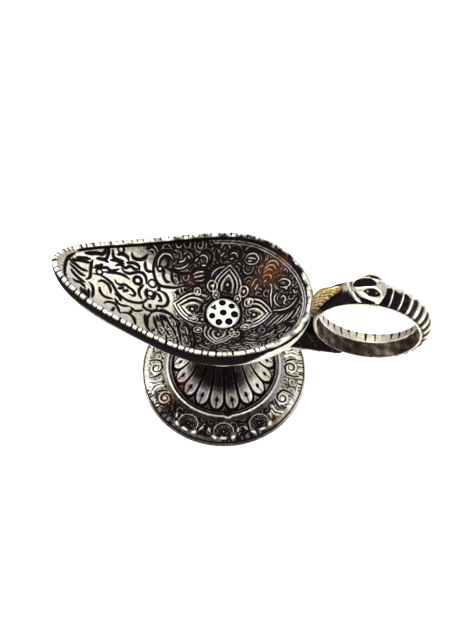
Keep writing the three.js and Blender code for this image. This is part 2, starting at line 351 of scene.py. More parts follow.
def mixed(tree, a, b, factor, blend_type="MIX"):
    """A mix of two colours, each given as a colour or as another node's output."""
    mix = node(tree, "ShaderNodeMix", data_type="RGBA", blend_type=blend_type)
    for key, source in (("A", a), ("B", b), ("Factor", factor)):
        if isinstance(source, tuple):
            mix.inputs[key].default_value = (*source, 1)
        else:
            tree.links.new(source, mix.inputs[key])
    return mix.outputs["Result"]


def mapped(tree, value, **limits):
    """The value mapped from one range to another, each 0 to 1 unless given."""
    made = node(tree, "ShaderNodeMapRange", **{key.replace("_", " "): limit for key, limit in limits.items()})
    tree.links.new(value, made.inputs["Value"])
    return made.outputs["Result"]


def cast_metal(name, metal, patina, warm, cool, roughness=0.3):
    """Cast metal, blackened in its recesses and bright where its per-point wear value is high; that value
    holds rubbed wear together with painted light and shade.
    """
    material = bpy.data.materials.new(name)
    material.use_nodes = True
    tree = material.node_tree
    link = tree.links.new
    shader = tree.nodes["Principled BSDF"]
    shader.inputs["Specular IOR Level"].default_value = 0.0
    coordinates = node(tree, "ShaderNodeTexCoord")
    total = node(tree, "ShaderNodeAttribute", attribute_name="wear_and_painted_light").outputs["Fac"]
    rust = node(tree, "ShaderNodeAttribute", attribute_name="rust").outputs["Fac"]
    noises = []
    for scale, strength in NOISES:
        noise, total = add_noise(tree, coordinates, total, scale, strength)
        noises.append(noise)
    clouds, blotch, mottle, speck = noises
    brightness = brightness_curve(tree, total)

    tone = mixed(tree, metal, warm, blotch)
    tinged = mixed(tree, tone, cool, mapped(tree, clouds, From_Min=0.5, From_Max=0.68))
    dark = mixed(tree, patina, RUST, rust)
    colour = mixed(tree, dark, tinged, brightness)
    link(mixed(tree, colour, RUST_STAIN, rust, "MULTIPLY"), shader.inputs["Base Color"])
    link(mapped(tree, brightness, To_Min=0.1, To_Max=0.8), shader.inputs["Metallic"])

    rougher = node(tree, "ShaderNodeMath", operation="MULTIPLY_ADD")
    rougher.inputs[1].default_value = 0.16
    link(speck, rougher.inputs[0])
    link(mapped(tree, brightness, To_Min=PATINA_ROUGHNESS, To_Max=roughness), rougher.inputs[2])
    link(rougher.outputs[0], shader.inputs["Roughness"])

    surface = node(tree, "ShaderNodeBump", Strength=0.35, Distance=0.00012)
    link(mottle, surface.inputs["Height"])
    link(surface.outputs["Normal"], shader.inputs["Normal"])
    return material


BRIGHT = (0.79, 0.76, 0.69)
CREAM = (0.79, 0.72, 0.53)
LILAC = (0.75, 0.68, 0.71)
PATINA = (0.0055, 0.0038, 0.0042)
white_metal = cast_metal("antique_white_metal", BRIGHT, PATINA, CREAM, LILAC)
polished_metal = cast_metal("polished_white_metal", metal=(0.86, 0.85, 0.82), patina=PATINA,
                            warm=(0.80, 0.77, 0.68), cool=(0.8, 0.78, 0.82), roughness=0.24)
brass = cast_metal("leaf_brass", metal=(0.66, 0.50, 0.22), patina=(0.05, 0.026, 0.01),
                   warm=(0.50, 0.37, 0.14), cool=(0.72, 0.64, 0.40), roughness=0.34)
steel = cast_metal("plated_steel", metal=(0.60, 0.61, 0.62), patina=(0.16, 0.15, 0.14),
                   warm=(0.50, 0.50, 0.49), cool=(0.56, 0.57, 0.6), roughness=0.4)

# ---------------------------------------------------------------- the bowl's surfaces, as in the CAD
SPOUT_X, BACK_X = -49.7, 26.2
RIM_HARMONICS = (19.4, 3.6, 0, -0.4, 0, 0.15)
RIM_Z, SPOUT_RISE = 49.6, 7.6
CAMBER, CAMBER_X, CAMBER_FRONT, CAMBER_BACK = 2.15, 12, 26, 28
LIP_WIDTH, LIP_FOOT = 1.9, -0.5
FLOOR_Z, UNDERSIDE_Z = 36.8, 34.4
DISH_ROUNDING = 0.2
INNER_STEEP = (0.14, 16)
OUTER_STEEP = (0.42, 30)
OUTER_LIFT = -0.9
SEAT_RADIUS, SEAT_Z = 10.4, 33.8
BORE_RADIUS = 2.3
POD_RADIUS, POD_SEAT_Z, POD_TOP_Z = 5.1, 36.9, 39.0


def rim_point(turn, inset=0.0):
    """The rim's outline in plan, moved inwards by inset. Turn 0 is the back, pi the spout."""
    half = (BACK_X - SPOUT_X) / 2
    x = (BACK_X + SPOUT_X) / 2 + half * np.cos(turn)
    y = sum(a * np.sin((i + 1) * turn) for i, a in enumerate(RIM_HARMONICS))
    sx = -half * np.sin(turn)
    sy = sum(a * (i + 1) * np.cos((i + 1) * turn) for i, a in enumerate(RIM_HARMONICS))
    length = np.hypot(sx, sy)
    return x - inset * sy / length, y + inset * sx / length


def rim_height(turn):
    """The rim rises towards the spout, and its round part bows up."""
    x = rim_point(turn)[0]
    reach = np.where(x < CAMBER_X, CAMBER_FRONT, CAMBER_BACK)
    bow = np.cos(math.pi / 2 * np.minimum(1, np.abs(x - CAMBER_X) / reach)) ** 2
    return RIM_Z + SPOUT_RISE * np.maximum(0, x / SPOUT_X) ** 3 + CAMBER * bow


def wall_rise(share, part, power):
    """How far up the wall a share of the way out is: a rounded cone that steepens at the rim."""
    cone = (np.hypot(share, DISH_ROUNDING) - DISH_ROUNDING) / (math.hypot(1, DISH_ROUNDING) - DISH_ROUNDING)
    wall = 1 - np.sqrt(1 - np.minimum(share, 1) ** power)
    return cone + (wall - cone) * part


TURNS = np.linspace(-math.pi, math.pi, 4001)


def polar(x, y, inset):
    """The rim's turn, and the share of the way from the axis to the outline, at a place in plan."""
    rx, ry = rim_point(TURNS, inset)
    bearing = np.unwrap(np.arctan2(ry, rx))
    bearing -= 2 * math.pi * round(bearing[len(TURNS) // 2] / (2 * math.pi))
    here = np.arctan2(y, x)
    turn = np.interp(here, bearing, TURNS)
    return turn, np.hypot(x, y) / np.interp(here, bearing, np.hypot(rx, ry))


def distance_from_lip(x, y):
    """How far a place inside the bowl is from the lip's inner edge, square to it."""
    turn, share = polar(x, y, LIP_WIDTH)
    rx, ry = rim_point(turn, LIP_WIDTH)
    outer_x, outer_y = rim_point(turn, 0)
    across = np.maximum((rx * (outer_x - rx) + ry * (outer_y - ry)) / LIP_WIDTH, 0.1)
    return (1 - share) * across


def inner_height(x, y):
    """The height of the bowl's inside at a place in plan."""
    turn, share = polar(x, y, LIP_WIDTH)
    return FLOOR_Z + (rim_height(turn) + LIP_FOOT - FLOOR_Z) * wall_rise(np.minimum(share, 1), *INNER_STEEP)


def outer_height(rim, share):
    """The height of the bowl's outside at a share of the way from the axis to a rim of this height."""
    return UNDERSIDE_Z + (rim + OUTER_LIFT - UNDERSIDE_Z) * wall_rise(share, *OUTER_STEEP)


# ---------------------------------------------------------------- the bowl's ornament, in plan
bowl_art = Relief((-50, -21), (27, 21))

# Engraved lines of the spout's half.
SPOUT_LINES = [
    [(-44.0, 4.9), (-45.7, 2.4), (-46.0, 0), (-45.5, -2.4), (-44.2, -4.6), (-42.3, -6.4)],
    [(-45.3, 2.3), (-42.5, 3.5), (-39.5, 4.0)],
    [(-44.9, 1.9), (-43.7, 1.9), (-41.8, 1.15), (-40, 1.1)],
    [(-44.9, 1.2), (-43.3, 0.4), (-41.6, -0.5), (-40.3, -0.6)],
    [(-44.4, -0.3), (-43, -1.4), (-41.3, -2.3), (-39.9, -2.7)],
    [(-43.3, -3), (-42.3, -3.4), (-41, -3.3), (-39.4, -4.4)],
    [(-39.3, 5), (-39.4, 2.8), (-39.1, 1), (-39, -0.5), (-39.8, -1.6)],
    [(-38.8, -2.2), (-37.8, -3), (-37.2, -4.8), (-37, -7)],
    [(-43.5, 3.8), (-41.8, 4.5), (-40, 5.1)],
    [(-41.5, 5.9), (-40, 6.5), (-38.3, 7.2), (-37, 7.5), (-36.3, 8.3), (-36, 9.6)],
    [(-35.3, 9.8), (-35.4, 7.8), (-36, 6.5), (-38.3, 5.8)],
    [(-38.2, 6), (-36.3, 6.3), (-35, 6)],
    [(-34.2, 9.4), (-33.8, 8), (-32.5, 7.6), (-30.8, 7.7)],
    [(-34.5, 6.8), (-33, 7.2), (-30.5, 7)],
    [(-32.8, 8.8), (-31.5, 9.4), (-30, 9.1), (-29.5, 8.3)],
    [(-32.8, 5.8), (-31.5, 6.5), (-30, 6), (-28.8, 6.9), (-27.3, 6.5), (-26.2, 7)],
    [(-30, 7.5), (-28.3, 8), (-26.6, 7.8), (-26, 6.7)],
    [(-28.9, 10.4), (-28.2, 9.4), (-26.5, 9.4), (-25.1, 10.2), (-24.4, 11.3)],
    [(-24.8, 9.3), (-24.5, 8), (-23.8, 7.1), (-22.3, 7.2)],
    [(-38.8, 2.8), (-36.3, 3.8), (-35, 4.3), (-34, 3.8), (-32.8, 4.3), (-31.8, 5)],
    [(-31, 5.5), (-30, 4.8), (-28.5, 4.8), (-27.5, 5.4), (-26.2, 6), (-24.8, 6), (-23.8, 5), (-23.4, 3.4)],
    [(-36.4, 4.8), (-37.3, 4.0), (-38.3, 3.6)],
    [(-35.5, 2.7), (-34, 3.2), (-32, 3.7), (-30, 3.7), (-28.3, 3.1)],
    [(-38.3, 1), (-36.3, 1.3), (-34.5, 0.8), (-33, 0), (-32, -1), (-31, -2.2), (-29.5, -3.2), (-27.5, -3.9),
     (-25.5, -3.8), (-23.8, -3.2), (-22.8, -2.2), (-22.2, -1.2), (-20.5, -0.7)],
    [(-32, 1.4), (-31.6, 0.6), (-30.3, 0.4), (-29.2, 0.9), (-28, 0.5), (-26.8, 0), (-26, -0.8),
     (-26.2, -1.7), (-27.3, -1.7)],
    [(-30.8, -1), (-29.3, -0.2)],
    [(-29.3, -1.3), (-28, -0.5)],
    [(-24.1, 2.8), (-25, 1), (-24.8, -0.5), (-23.8, -1.8)],
    [(-20.2, 4.8), (-19.6, 3), (-20, 2.4)],
    [(-22.9, 2.0), (-23.1, 0.4), (-22.3, -0.9)],
    [(-20.6, 2.0), (-20.5, 0.4), (-21.2, -0.8)],
    [(-20, 1.6), (-19, 0.8), (-18.5, -0.2), (-19.1, -0.8)],
    [(-19.2, 2.6), (-17.5, 2.1), (-16.5, 0.5), (-16.7, -1.2), (-17.8, -2.2), (-19.2, -2.5), (-19, -3.4)],
    [(-23, -3.4), (-22.8, -4.4), (-21.6, -5), (-20, -4.9), (-19, -3.6)],
    [(-21.3, -2.7), (-21, -3.9)],
    [(-18.8, -4), (-16.8, -3.3), (-15, -4), (-13.8, -4.8)],
    [(-36.5, -1), (-35.5, -0.3), (-33.8, -0.8), (-32.8, -2.2), (-32.5, -3.3)],
    [(-35.8, -2.5), (-35.3, -4), (-33.8, -5.1), (-31.6, -5)],
    [(-31.3, -3), (-30, -3.6), (-29.3, -4.9)],
    [(-31, -4.6), (-30, -5.8), (-28.5, -6.2), (-26.8, -5.8)],
    [(-26.3, -5.8), (-24.8, -6.8), (-22.8, -5.8)],
    [(-33.5, -7.6), (-32.7, -6.6), (-31, -6.4), (-29.8, -7.3), (-29, -8.6), (-28.4, -9.6)],
    [(-30.5, -7.8), (-30.8, -9.8)],
    [(-28.3, -9.3), (-26.8, -8.6), (-25, -9.3), (-24, -10.9), (-23.4, -12.6)],
    [(-21.8, -7), (-21.3, -9.3), (-20.3, -11.8), (-19, -13.8)],
    [(-40.6, -4.8), (-39.6, -7)],
    [(-39.6, -4.9), (-38.5, -7.4)],
    [(-38.5, -4.4), (-37.9, -7.6)],
    [(-25.8, -7.2), (-25.9, -8.2)],
]

# Engraved lines of the round medallions and of the middle and back.
BACK_LINES = [
    [(-15.8, 13.6), (-18, 13.7), (-20.3, 13.1), (-21.8, 11.2), (-22.2, 8.8), (-21.8, 6.8), (-20.8, 5.1),
     (-19.2, 4.1), (-16.8, 4.4), (-15, 4.8), (-13.1, 5.7)],
    [(-20.6, 9.6), (-20.3, 11.2), (-19.3, 12), (-18.2, 11.5), (-18.2, 10), (-19.2, 9.2)],
    [(-19, 8.8), (-19, 7), (-18, 5.8), (-17, 5.8)],
    [(-16.8, 8.5), (-16.4, 6.8), (-15.3, 5.7)],
    [(-14.8, 8.4), (-14.2, 6.8)],
    [(-18.6, 9.2), (-16.5, 9), (-14.2, 8.8), (-12.5, 9.2), (-10.9, 9.8)],
    [(-11.2, 8.6), (-10.8, 10.4), (-9, 11.3), (-7, 11.6), (-6.2, 10.5), (-6.9, 8.6), (-8.8, 7.4),
     (-11.2, 7.8)],
    [(-13, 5.8), (-11.6, 6.2), (-10, 6.3), (-8.2, 7)],
    [(-1.2, 13.3), (-4, 12.8), (-5.6, 11.2), (-6.5, 9.3), (-6.8, 7.4)],
    [(-0.9, 15.2), (-0.8, 16.4), (0.2, 17.2), (1.8, 17.4), (2.8, 16.5), (3, 15)],
    [(3.9, 16.4), (6.4, 17.5), (8.9, 16.4), (9.7, 14.6), (8.2, 13.3)],
    [(-9, 15.6), (-7, 16), (-5.7, 15), (-6, 13), (-7.5, 11.8)],
    [(-13.5, 15.2), (-11.5, 15), (-10.7, 13.5), (-11.5, 12)],
    [(-4.6, 16.6), (-4.3, 14.8), (-3.2, 13.8)],
    [(14.2, 0.1), (16, 0.1), (18.5, 0), (20.5, 1.3), (22, 3.6)],
    [(17.5, -4.8), (19.5, -3.2), (21, -1.6), (22, 0.6)],
    [(17.4, -4.6), (19.5, -4.6), (20.8, -5.5), (21.2, -7.2)],
    [(13, -8.2), (15, -6.6), (17, -4.8)],
    [(-20.5, -6.3), (-19.8, -5), (-18, -4.1), (-15.5, -4.1), (-13.8, -5), (-12, -6.4), (-11.8, -8.8),
     (-10.6, -12.4), (-9.8, -15.4)],
    [(-20.5, -6.3), (-20.9, -8.5), (-20.3, -11)],
    [(-10.8, -5.6), (-9.2, -7.2), (-8.2, -9.8)],
    [(-7.8, -7.4), (-7.3, -9.3), (-6.6, -11.5), (-6, -13.8), (-5.8, -17.2)],
    [(6.6, -6.4), (7, -9), (6.2, -11.4), (4.6, -13.4)],
    [(-19.3, -7), (-18.3, -9.6), (-17.2, -12)],
    [(-17.8, -5.4), (-16.6, -8.4), (-15.6, -10.6)],
    [(-16.3, -5.2), (-14.8, -7.8), (-13.6, -9.6)],
    [(-18.6, -6.2), (-17.5, -8.6)],
    [(-17.2, -5.1), (-15.8, -7.6)],
    [(-17, -12.5), (-15.2, -14.4)],
    [(-15.2, -10.8), (-13.4, -13.4)],
    [(-13.8, -8.8), (-12.6, -10.8), (-11.8, -12.8)],
]

# Raised lines of the middle and back.
BACK_RIDGES = [
    [(-21, 9), (-21, 11), (-19.8, 12.6), (-18, 12.8), (-16.8, 11.8)],
    [(-16.3, 10), (-14.8, 10), (-13, 11), (-12.2, 12.2)],
    [(-15.2, 11.6), (-13.9, 12.2), (-13.2, 13.4)],
    [(-10.6, 9.2), (-9.4, 10.2), (-7.4, 10.8)],
    [(-10.4, 8.6), (-9, 9.2), (-7.2, 10)],
    [(-9.6, 8), (-8, 8.3), (-7, 9)],
    [(-9.4, 14.2), (-8.2, 14.8), (-7, 14.2), (-7.2, 12.8)],
    [(-8.4, 12.2), (-7.2, 12.4)],
    [(-12.8, 13.8), (-12, 13.2)],
    [(-0.4, 15.8), (0.4, 16.3), (1.4, 16.1), (2, 15.2)],
    [(-0.2, 14.8), (0.8, 15.1)],
    [(4, 14.6), (5, 16), (7, 16.2), (8.2, 15), (7.4, 13.9), (5.4, 13.8), (4, 14.6)],
    [(5, 15.2), (6.2, 15.2), (7.4, 15)],
    [(5, 14.5), (6.4, 14.5)],
    [(-1.4, 12.9), (-3.2, 12.3), (-4.6, 11.2), (-5.2, 9.8)],
    [(10.6, 13.6), (12, 14.4), (13.6, 14.1), (14.6, 12.8)],
    [(10.2, 12.4), (11.6, 13.4), (13, 13.2), (13.8, 12.2)],
    [(10, 11.4), (11.5, 12.4), (13, 12)],
    [(10, 10.2), (11, 11), (12.4, 10.8), (12.7, 9.8)],
    [(10.6, 9.2), (11.4, 9.8)],
    [(7, 8), (7.8, 9.6), (8.6, 10.2)],
    [(8.2, 7.2), (9, 8.8)],
    [(14.8, 8.8), (15.8, 9.6), (17.2, 9.5), (18.4, 8.6), (18, 7.6), (16.6, 7.4), (15.6, 7.8)],
    [(16, 11.6), (17, 12.4), (17.2, 11.2)],
    [(12, 7.8), (12.8, 8.6), (13.3, 7), (13.3, 5), (14, 2)],
    [(15, 6.2), (14.4, 4.6), (15.2, 2.8), (16.6, 1.8)],
    [(16.2, 4.4), (17, 5), (17.8, 4), (17.4, 2.8), (18.4, 2.2)],
    [(14.6, 0.8), (16.4, 0.7), (18.4, 0.9), (20, 2), (21.2, 4)],
    [(19.6, 6.4), (20.4, 5.4), (21, 6)],
    [(16.6, -0.8), (15, -2.4), (13.2, -4.8)],
    [(18, -0.8), (16.4, -2.8), (14.4, -5.2)],
    [(19.4, -0.8), (17.8, -2.8), (16, -4.6)],
    [(20.6, 0), (19.6, -1.8), (18.2, -3.4)],
    [(20.4, -3.2), (21.4, -1.4), (22.2, 1)],
    [(19.2, -5.6), (18.4, -7), (16.8, -8)],
    [(20.4, -6), (19.2, -8)],
    [(14.4, -7.6), (13.4, -9), (11.8, -9.8)],
    [(16.2, -6.2), (15.4, -7.6), (14, -8.8)],
    [(9, -7.6), (10.4, -8.4), (11.6, -8.2)],
    [(7.8, -9.4), (9.4, -10.4), (11.2, -10.6)],
    [(8.2, -11.4), (10, -12.2), (12, -12)],
    [(4, -14.6), (6, -14.4), (7.8, -13.4)],
    [(-4.8, -14.4), (-3, -15.6), (-1, -16)],
    [(1, -15.4), (2.6, -15.8), (4.4, -16)],
    [(-10.2, -7.4), (-9.2, -9), (-8.6, -11)],
    [(-9.6, -11.6), (-8.6, -13), (-8.2, -14.8)],
    [(-14.6, -5.6), (-13.2, -6.8), (-12.8, -8.4)],
    [(-10.4, 12.8), (-9.8, 13.8)],
    [(-3.2, 15.2), (-2.2, 16.2)],
]

# Beads in the plan: place, radius and the radius of a raised ring round them.
BEADS = [
    ((-36.8, 2.2), 0.55, 0), ((-26, 3.5), 0.6, 0), ((-21.8, 4), 0.8, 0), ((-21.8, 0.8), 0.6, 0),
    ((-4.5, 7.6), 0.62, 1.4), ((5, 6.9), 0.6, 1.35), ((7, 4), 0.6, 1.15), ((-3, 5.5), 0.45, 0.9),
    ((3.5, 5), 0.45, 0.9), ((7.2, -4.7), 0.62, 1.2), ((4.75, -8), 0.6, 1.3), ((-8.2, -3.6), 0.6, 1.1),
    ((-5.8, -3), 0.5, 0), ((-6.2, -8), 0.6, 1.2), ((-2.8, -6.1), 0.45, 0), ((3.4, -5.6), 0.55, 0),
    ((-8.6, 5.3), 0.5, 0.95), ((-32, 10.3), 0.5, 0), ((-20.3, 8.6), 0.4, 0), ((17.6, 7), 0.4, 0),
    ((9, -2.6), 0.35, 0),
]

# A lotus petal, tip along +X: nested lines that meet in a point, with a bead inside. Four stand round
# the pod, each with its bearing in degrees, stretch and width.
LOTUS_LINE_WIDTH = 0.42
LOTUSES = [(0, 0.96, 1), (180, 0.97, 1), (90, 0.88, 0.86), (-90, 0.9, 0.9)]
LOTUS_LINES = [
    [(5.4, 5.2), (8, 5.4), (10.6, 5), (13, 3.2), (15.4, 0.4)],
    [(6.6, 3.9), (9, 4.1), (11.2, 3.4), (13.2, 1.8), (14.6, 0)],
    [(7.2, 2.5), (9, 2.8), (11, 2.2), (13.4, 0)],
]
LOTUS_RIDGES = [
    [(6, 4.6), (8.6, 4.8), (10.9, 4.2), (13, 2.6), (15, 0.2)],
    [(6.9, 3.2), (9, 3.5), (11.2, 2.8), (13.9, 0)],
    [(7.6, 1.8), (9.2, 2), (10.8, 1.4), (12.2, 0), (10.8, -1.4), (9.2, -2), (7.6, -1.8)],
]


def draw_lotus(bearing, stretch, width):
    grooves = [(LOTUS_LINE_WIDTH, points) for points in LOTUS_LINES]
    ridges = [(LOTUS_LINE_WIDTH, points) for points in LOTUS_RIDGES]
    for hand in (1, -1):
        bowl_art.draw_lines(grooves, ridges, bearing, (stretch, width * hand))
    bowl_art.bead(placed([(9.6, 0)], bearing, (stretch, width))[0], 0.45)


def draw_bowl_art():
    for points in SPOUT_LINES:
        bowl_art.carve(points, 0.68)
    for points in BACK_LINES:
        bowl_art.carve(points, 0.6)
    for points in BACK_RIDGES:
        bowl_art.raise_(points, 0.44)
        bowl_art.edge(points, 0.85)
    bowl_art.ring(bowl_art.groove, (-26, 3.5), 1.25, 0.5)
    bowl_art.ring(bowl_art.groove, (0, 0), POD_RADIUS + 0.4, 0.32)
    for bearing, stretch, width in LOTUSES:
        draw_lotus(math.radians(bearing), stretch, width)
    for centre, radius, ring in BEADS:
        bowl_art.bead(centre, radius, ring)


draw_bowl_art()


CURL_CELLS = 64


def fill_with_curls(art, spacing, inside):
    """Small spiral curls, one to each cell of a jittered net, wherever nothing else is drawn."""
    u = art.low[0] + art.step * np.arange(art.ridge.shape[0])[:, None]
    v = art.low[1] + art.step * np.arange(art.ridge.shape[1])[None, :]
    u, v = np.broadcast_arrays(u, v)
    cell_u, cell_v = np.floor(u / spacing).astype(int), np.floor(v / spacing).astype(int)
    jitter = random.random((CURL_CELLS, CURL_CELLS, 3))
    nearest = np.full(u.shape, 99.0)
    second = np.full(u.shape, 99.0)
    wind = np.zeros(u.shape)
    for i in (-1, 0, 1):
        for j in (-1, 0, 1):
            a, b = cell_u + i, cell_v + j
            shift = jitter[a % CURL_CELLS, b % CURL_CELLS]
            du = u - (a + 0.2 + 0.6 * shift[..., 0]) * spacing
            dv = v - (b + 0.2 + 0.6 * shift[..., 1]) * spacing
            far = np.hypot(du, dv)
            closer = far < nearest
            second = np.where(closer, nearest, np.minimum(second, far))
            turned = (np.arctan2(dv, du) / (2 * math.pi) + shift[..., 2]) % 1
            wind = np.where(closer, np.where(shift[..., 2] > 0.5, turned, 1 - turned), wind)
            nearest = np.where(closer, far, nearest)
    coil = bump((nearest / 0.95 - wind) % 1 - 0.5, 0.3) * ramp(nearest, 0.2, 0.5)
    seam = bump(second - nearest, 0.5)
    drawn = np.maximum(art.ridge, art.groove)
    spread = drawn.copy()
    for shift in (-3, 3):
        for axis in (0, 1):
            spread = np.maximum(spread, np.roll(drawn, shift, axis))
    free = inside(u, v) * (1 - ramp(spread, 0.05, 0.35))
    art.ridge = np.maximum(art.ridge, coil * free * (1 - seam) * 0.6)
    art.groove = np.maximum(art.groove, free * np.maximum(seam, 0.5 * (1 - coil)))


def curled_ground(x, y):
    """1 where small curls fill the bowl's ground: its round part, and further out along the rim."""
    towards_rim = 4 * np.maximum(0, y - 10.5) + 1.1 * np.maximum(0, -y - 6)
    return ramp(x + 0.2 * y + towards_rim, -15.5, -13.5) * ramp(np.hypot(x, y), 5.6, 6.2)


fill_with_curls(bowl_art, 3.6, curled_ground)

# Soft spots: strength, place, and spread in x and y. The near hatched leaf and the far medallion are
# duller than the spout round them. Rust shows mostly at the bowl's far back, and in three places on the foot.
DULL_SPOTS = [(0.5, -19, -9, 40, 30), (0.5, -18, 8.5, 12, 16)]
DARK_PETAL = [(0.12, 0, 9.5, 18, 20)]
BOWL_RUST = [(0.85, 12, 11.8, 9, 9), (0.8, 17, 14, 5, 2), (0.4, -11, 7.3, 1.5, 1.5), (0.35, 7.5, 8.5, 2, 2)]
FOOT_RUST = [(0.4, -16.4, -13.8, 5, 5), (0.9, 18.7, -14.6, 0.9, 0.9), (0.5, -10.5, -9, 3, 3)]


def brightness_of_bowl(x, y):
    """How bright the ground is at a place inside the bowl, 0 to 1: a painted highlight over the spout, darker
    on the far wall and in the dull spots, lighter on the near wall towards the back and at the back itself.
    """
    spout = 1 - ramp(x + 0.25 * y, -17, -9)
    far_wall = ramp(y, 7, 12) * ramp(x, -36, -22)
    near_wall = ramp(-y, 11.5, 15) * ramp(x, -24, 4)
    back = ramp(x, 21.5, 24)
    dulled = 0.8 * far_wall + spots(x, y, DULL_SPOTS)
    return np.clip(spout - dulled + 0.55 * near_wall * ramp(x, 2, 12) + 0.5 * back, 0, 1)


# ---------------------------------------------------------------- the bowl
BOWL_COLUMNS = 700
INNER_ROWS, OUTER_ROWS = 92, 34
BORE_POINTS = 48
NOTCHES = 100
# The lip's section from its foot inside to its outer edge: distance in from the rim, and rise.
LIP = [(1.78, -0.2), (1.6, -0.02), (1.38, 0.1), (1.1, 0.15), (0.82, 0.12), (0.56, 0.02), (0.34, -0.15),
       (0.14, -0.42), (0.0, -0.9)]


def even_turns(count):
    """Rim turns an even way apart along the rim, the same on both sides."""
    turn = np.linspace(0, math.pi, 4001)
    x, y = rim_point(turn)
    along = running_sum(np.hypot(np.diff(x), np.diff(y)))
    half = np.interp(np.linspace(0, along[-1], count // 2 + 1), along, turn)
    return np.concatenate([half, -half[-2:0:-1]])


def notch_pattern():
    """For each column: its beat along the rim, its place across its notch, and its notch's three chances."""
    along = running_sum(np.hypot(np.diff(RIM_X), np.diff(RIM_Y)))
    along = along / (along[-1] + np.hypot(RIM_X[0] - RIM_X[-1], RIM_Y[0] - RIM_Y[-1]))
    phase = along * NOTCHES
    wobble = 0.18 * np.sin(phase * 0.9 + 1.3) + 0.12 * np.sin(phase * 2.3)
    beat = np.floor(phase + wobble).astype(int) % NOTCHES
    chances = random.random((NOTCHES, 3))[beat]
    return phase, ((phase + wobble) % 1) - 0.5 - 0.16 * (chances[:, 0] - 0.5), chances


# The bowl's columns, each from the slit on the long axis over the rim to the boss under the bowl.
TURN = even_turns(BOWL_COLUMNS)
RIM_X, RIM_Y = rim_point(TURN)
RIM_TOP = rim_height(TURN)
SLIT_FRONT, SLIT_BACK = -41.5, 10
SLIT_X = SLIT_FRONT + (RIM_X - SPOUT_X) / (BACK_X - SPOUT_X) * (SLIT_BACK - SLIT_FRONT)
SLIT_Y = np.sqrt(np.maximum(BORE_RADIUS**2 - SLIT_X**2, 0)) * np.sign(RIM_Y + 1e-9)
PHASE, ACROSS_NOTCH, CHANCES = notch_pattern()


def inside_normals(x, y):
    step = 0.03
    slope_x = (inner_height(x + step, y) - inner_height(x - step, y)) / (2 * step)
    slope_y = (inner_height(x, y + step) - inner_height(x, y - step)) / (2 * step)
    length = np.sqrt(slope_x**2 + slope_y**2 + 1)
    return np.stack([-slope_x, -slope_y, np.ones_like(x)], -1) / length[..., None]


def inside_ornament(x, y, below_lip, under_lip):
    """The grooves and ridges inside. Towards the back a plain band with two lines runs under the lip."""
    round_back = ramp(x, -14, 2)
    plain = round_back * ramp(-below_lip, -3.0, -2.4)
    lines = np.maximum(bump(below_lip - 1.25, 0.25), bump(below_lip - 2.1, 0.25)) * round_back
    between = bump(below_lip - 1.7, 0.22) * round_back
    groove = bowl_art.read(bowl_art.groove, x, y) * (1 - under_lip) * (1 - 0.7 * plain)
    ridge = bowl_art.read(bowl_art.ridge, x, y) * (1 - plain)
    return np.maximum(groove, 0.5 * between), np.maximum(ridge, 0.8 * lines)


def inside_brightness(x, y, groove, ridge, below_lip, under_lip):
    """Bright ridges on a duller ground, dark grooves, and a notched bright end at the spout's tip."""
    # The ground's brightness holds a painted highlight over the spout.
    ground_brightness = brightness_of_bowl(x, y)
    wear_and_painted_light = 0.44 + 0.44 * ground_brightness
    wear_and_painted_light = wear_and_painted_light + (0.42 - 0.2 * ground_brightness) * ridge - (1.15 + 0.1 * ground_brightness) * groove * (1 - ridge)
    tip = ramp(-x, 42.5, 44.5) * ramp(-below_lip, -3.4, -2.8)
    # Painted shadow under the lip, weaker on the near side and left off at the spout's tip; then the darker
    # far petal.
    wear_and_painted_light -= (1.4 - 0.6 * ramp(-y, -2, 6)) * under_lip * (1 - tip) + spots(x, y, DARK_PETAL)
    tip_cut = bump(ACROSS_NOTCH - 0.1, 0.17) * tip * ramp(below_lip, 1.5, 2.1)
    return wear_and_painted_light * (1 - tip) + tip * (0.97 - 1.1 * np.maximum(tip_cut, groove))


def inside_of_bowl():
    """Rows from the slit on the long axis out to the lip's foot, with their wear, painted highlight and
    shadow, and rust.
    """
    edge_x, edge_y = rim_point(TURN, LIP_WIDTH)
    share = (1 - (1 - np.linspace(0, 1, INNER_ROWS)) ** 1.15)[:, None]
    x = SLIT_X + (edge_x - SLIT_X) * share
    y = SLIT_Y + (edge_y - SLIT_Y) * share
    z = inner_height(x, y)
    z[-1] = RIM_TOP + LIP_FOOT
    radius = np.hypot(x, y)
    below_lip = np.hypot(distance_from_lip(x, y), np.maximum(RIM_TOP + LIP_FOOT - z, 0))
    round_back = ramp(x, -14, 2)
    # under_lip marks the band under the lip that gets painted shadow.
    under_lip = ramp(-below_lip, -1.05 + 0.2 * round_back, -0.65 + 0.15 * round_back)
    groove, ridge = inside_ornament(x, y, below_lip, under_lip)
    lift = (0.34 * ridge * ramp(below_lip, 0.4, 1.1) - 0.4 * groove) * ramp(radius, 5.0, 5.6)
    points = np.stack([x, y, z], -1) + inside_normals(x, y) * lift[..., None]
    recess = radius < POD_RADIUS + 0.35
    points[..., 2] = np.where(recess, np.minimum(points[..., 2], POD_SEAT_Z), points[..., 2])
    wear_and_painted_light = inside_brightness(x, y, groove, ridge, below_lip, under_lip)
    return points, np.where(recess, 0.05, wear_and_painted_light), spots(x, y, BOWL_RUST)


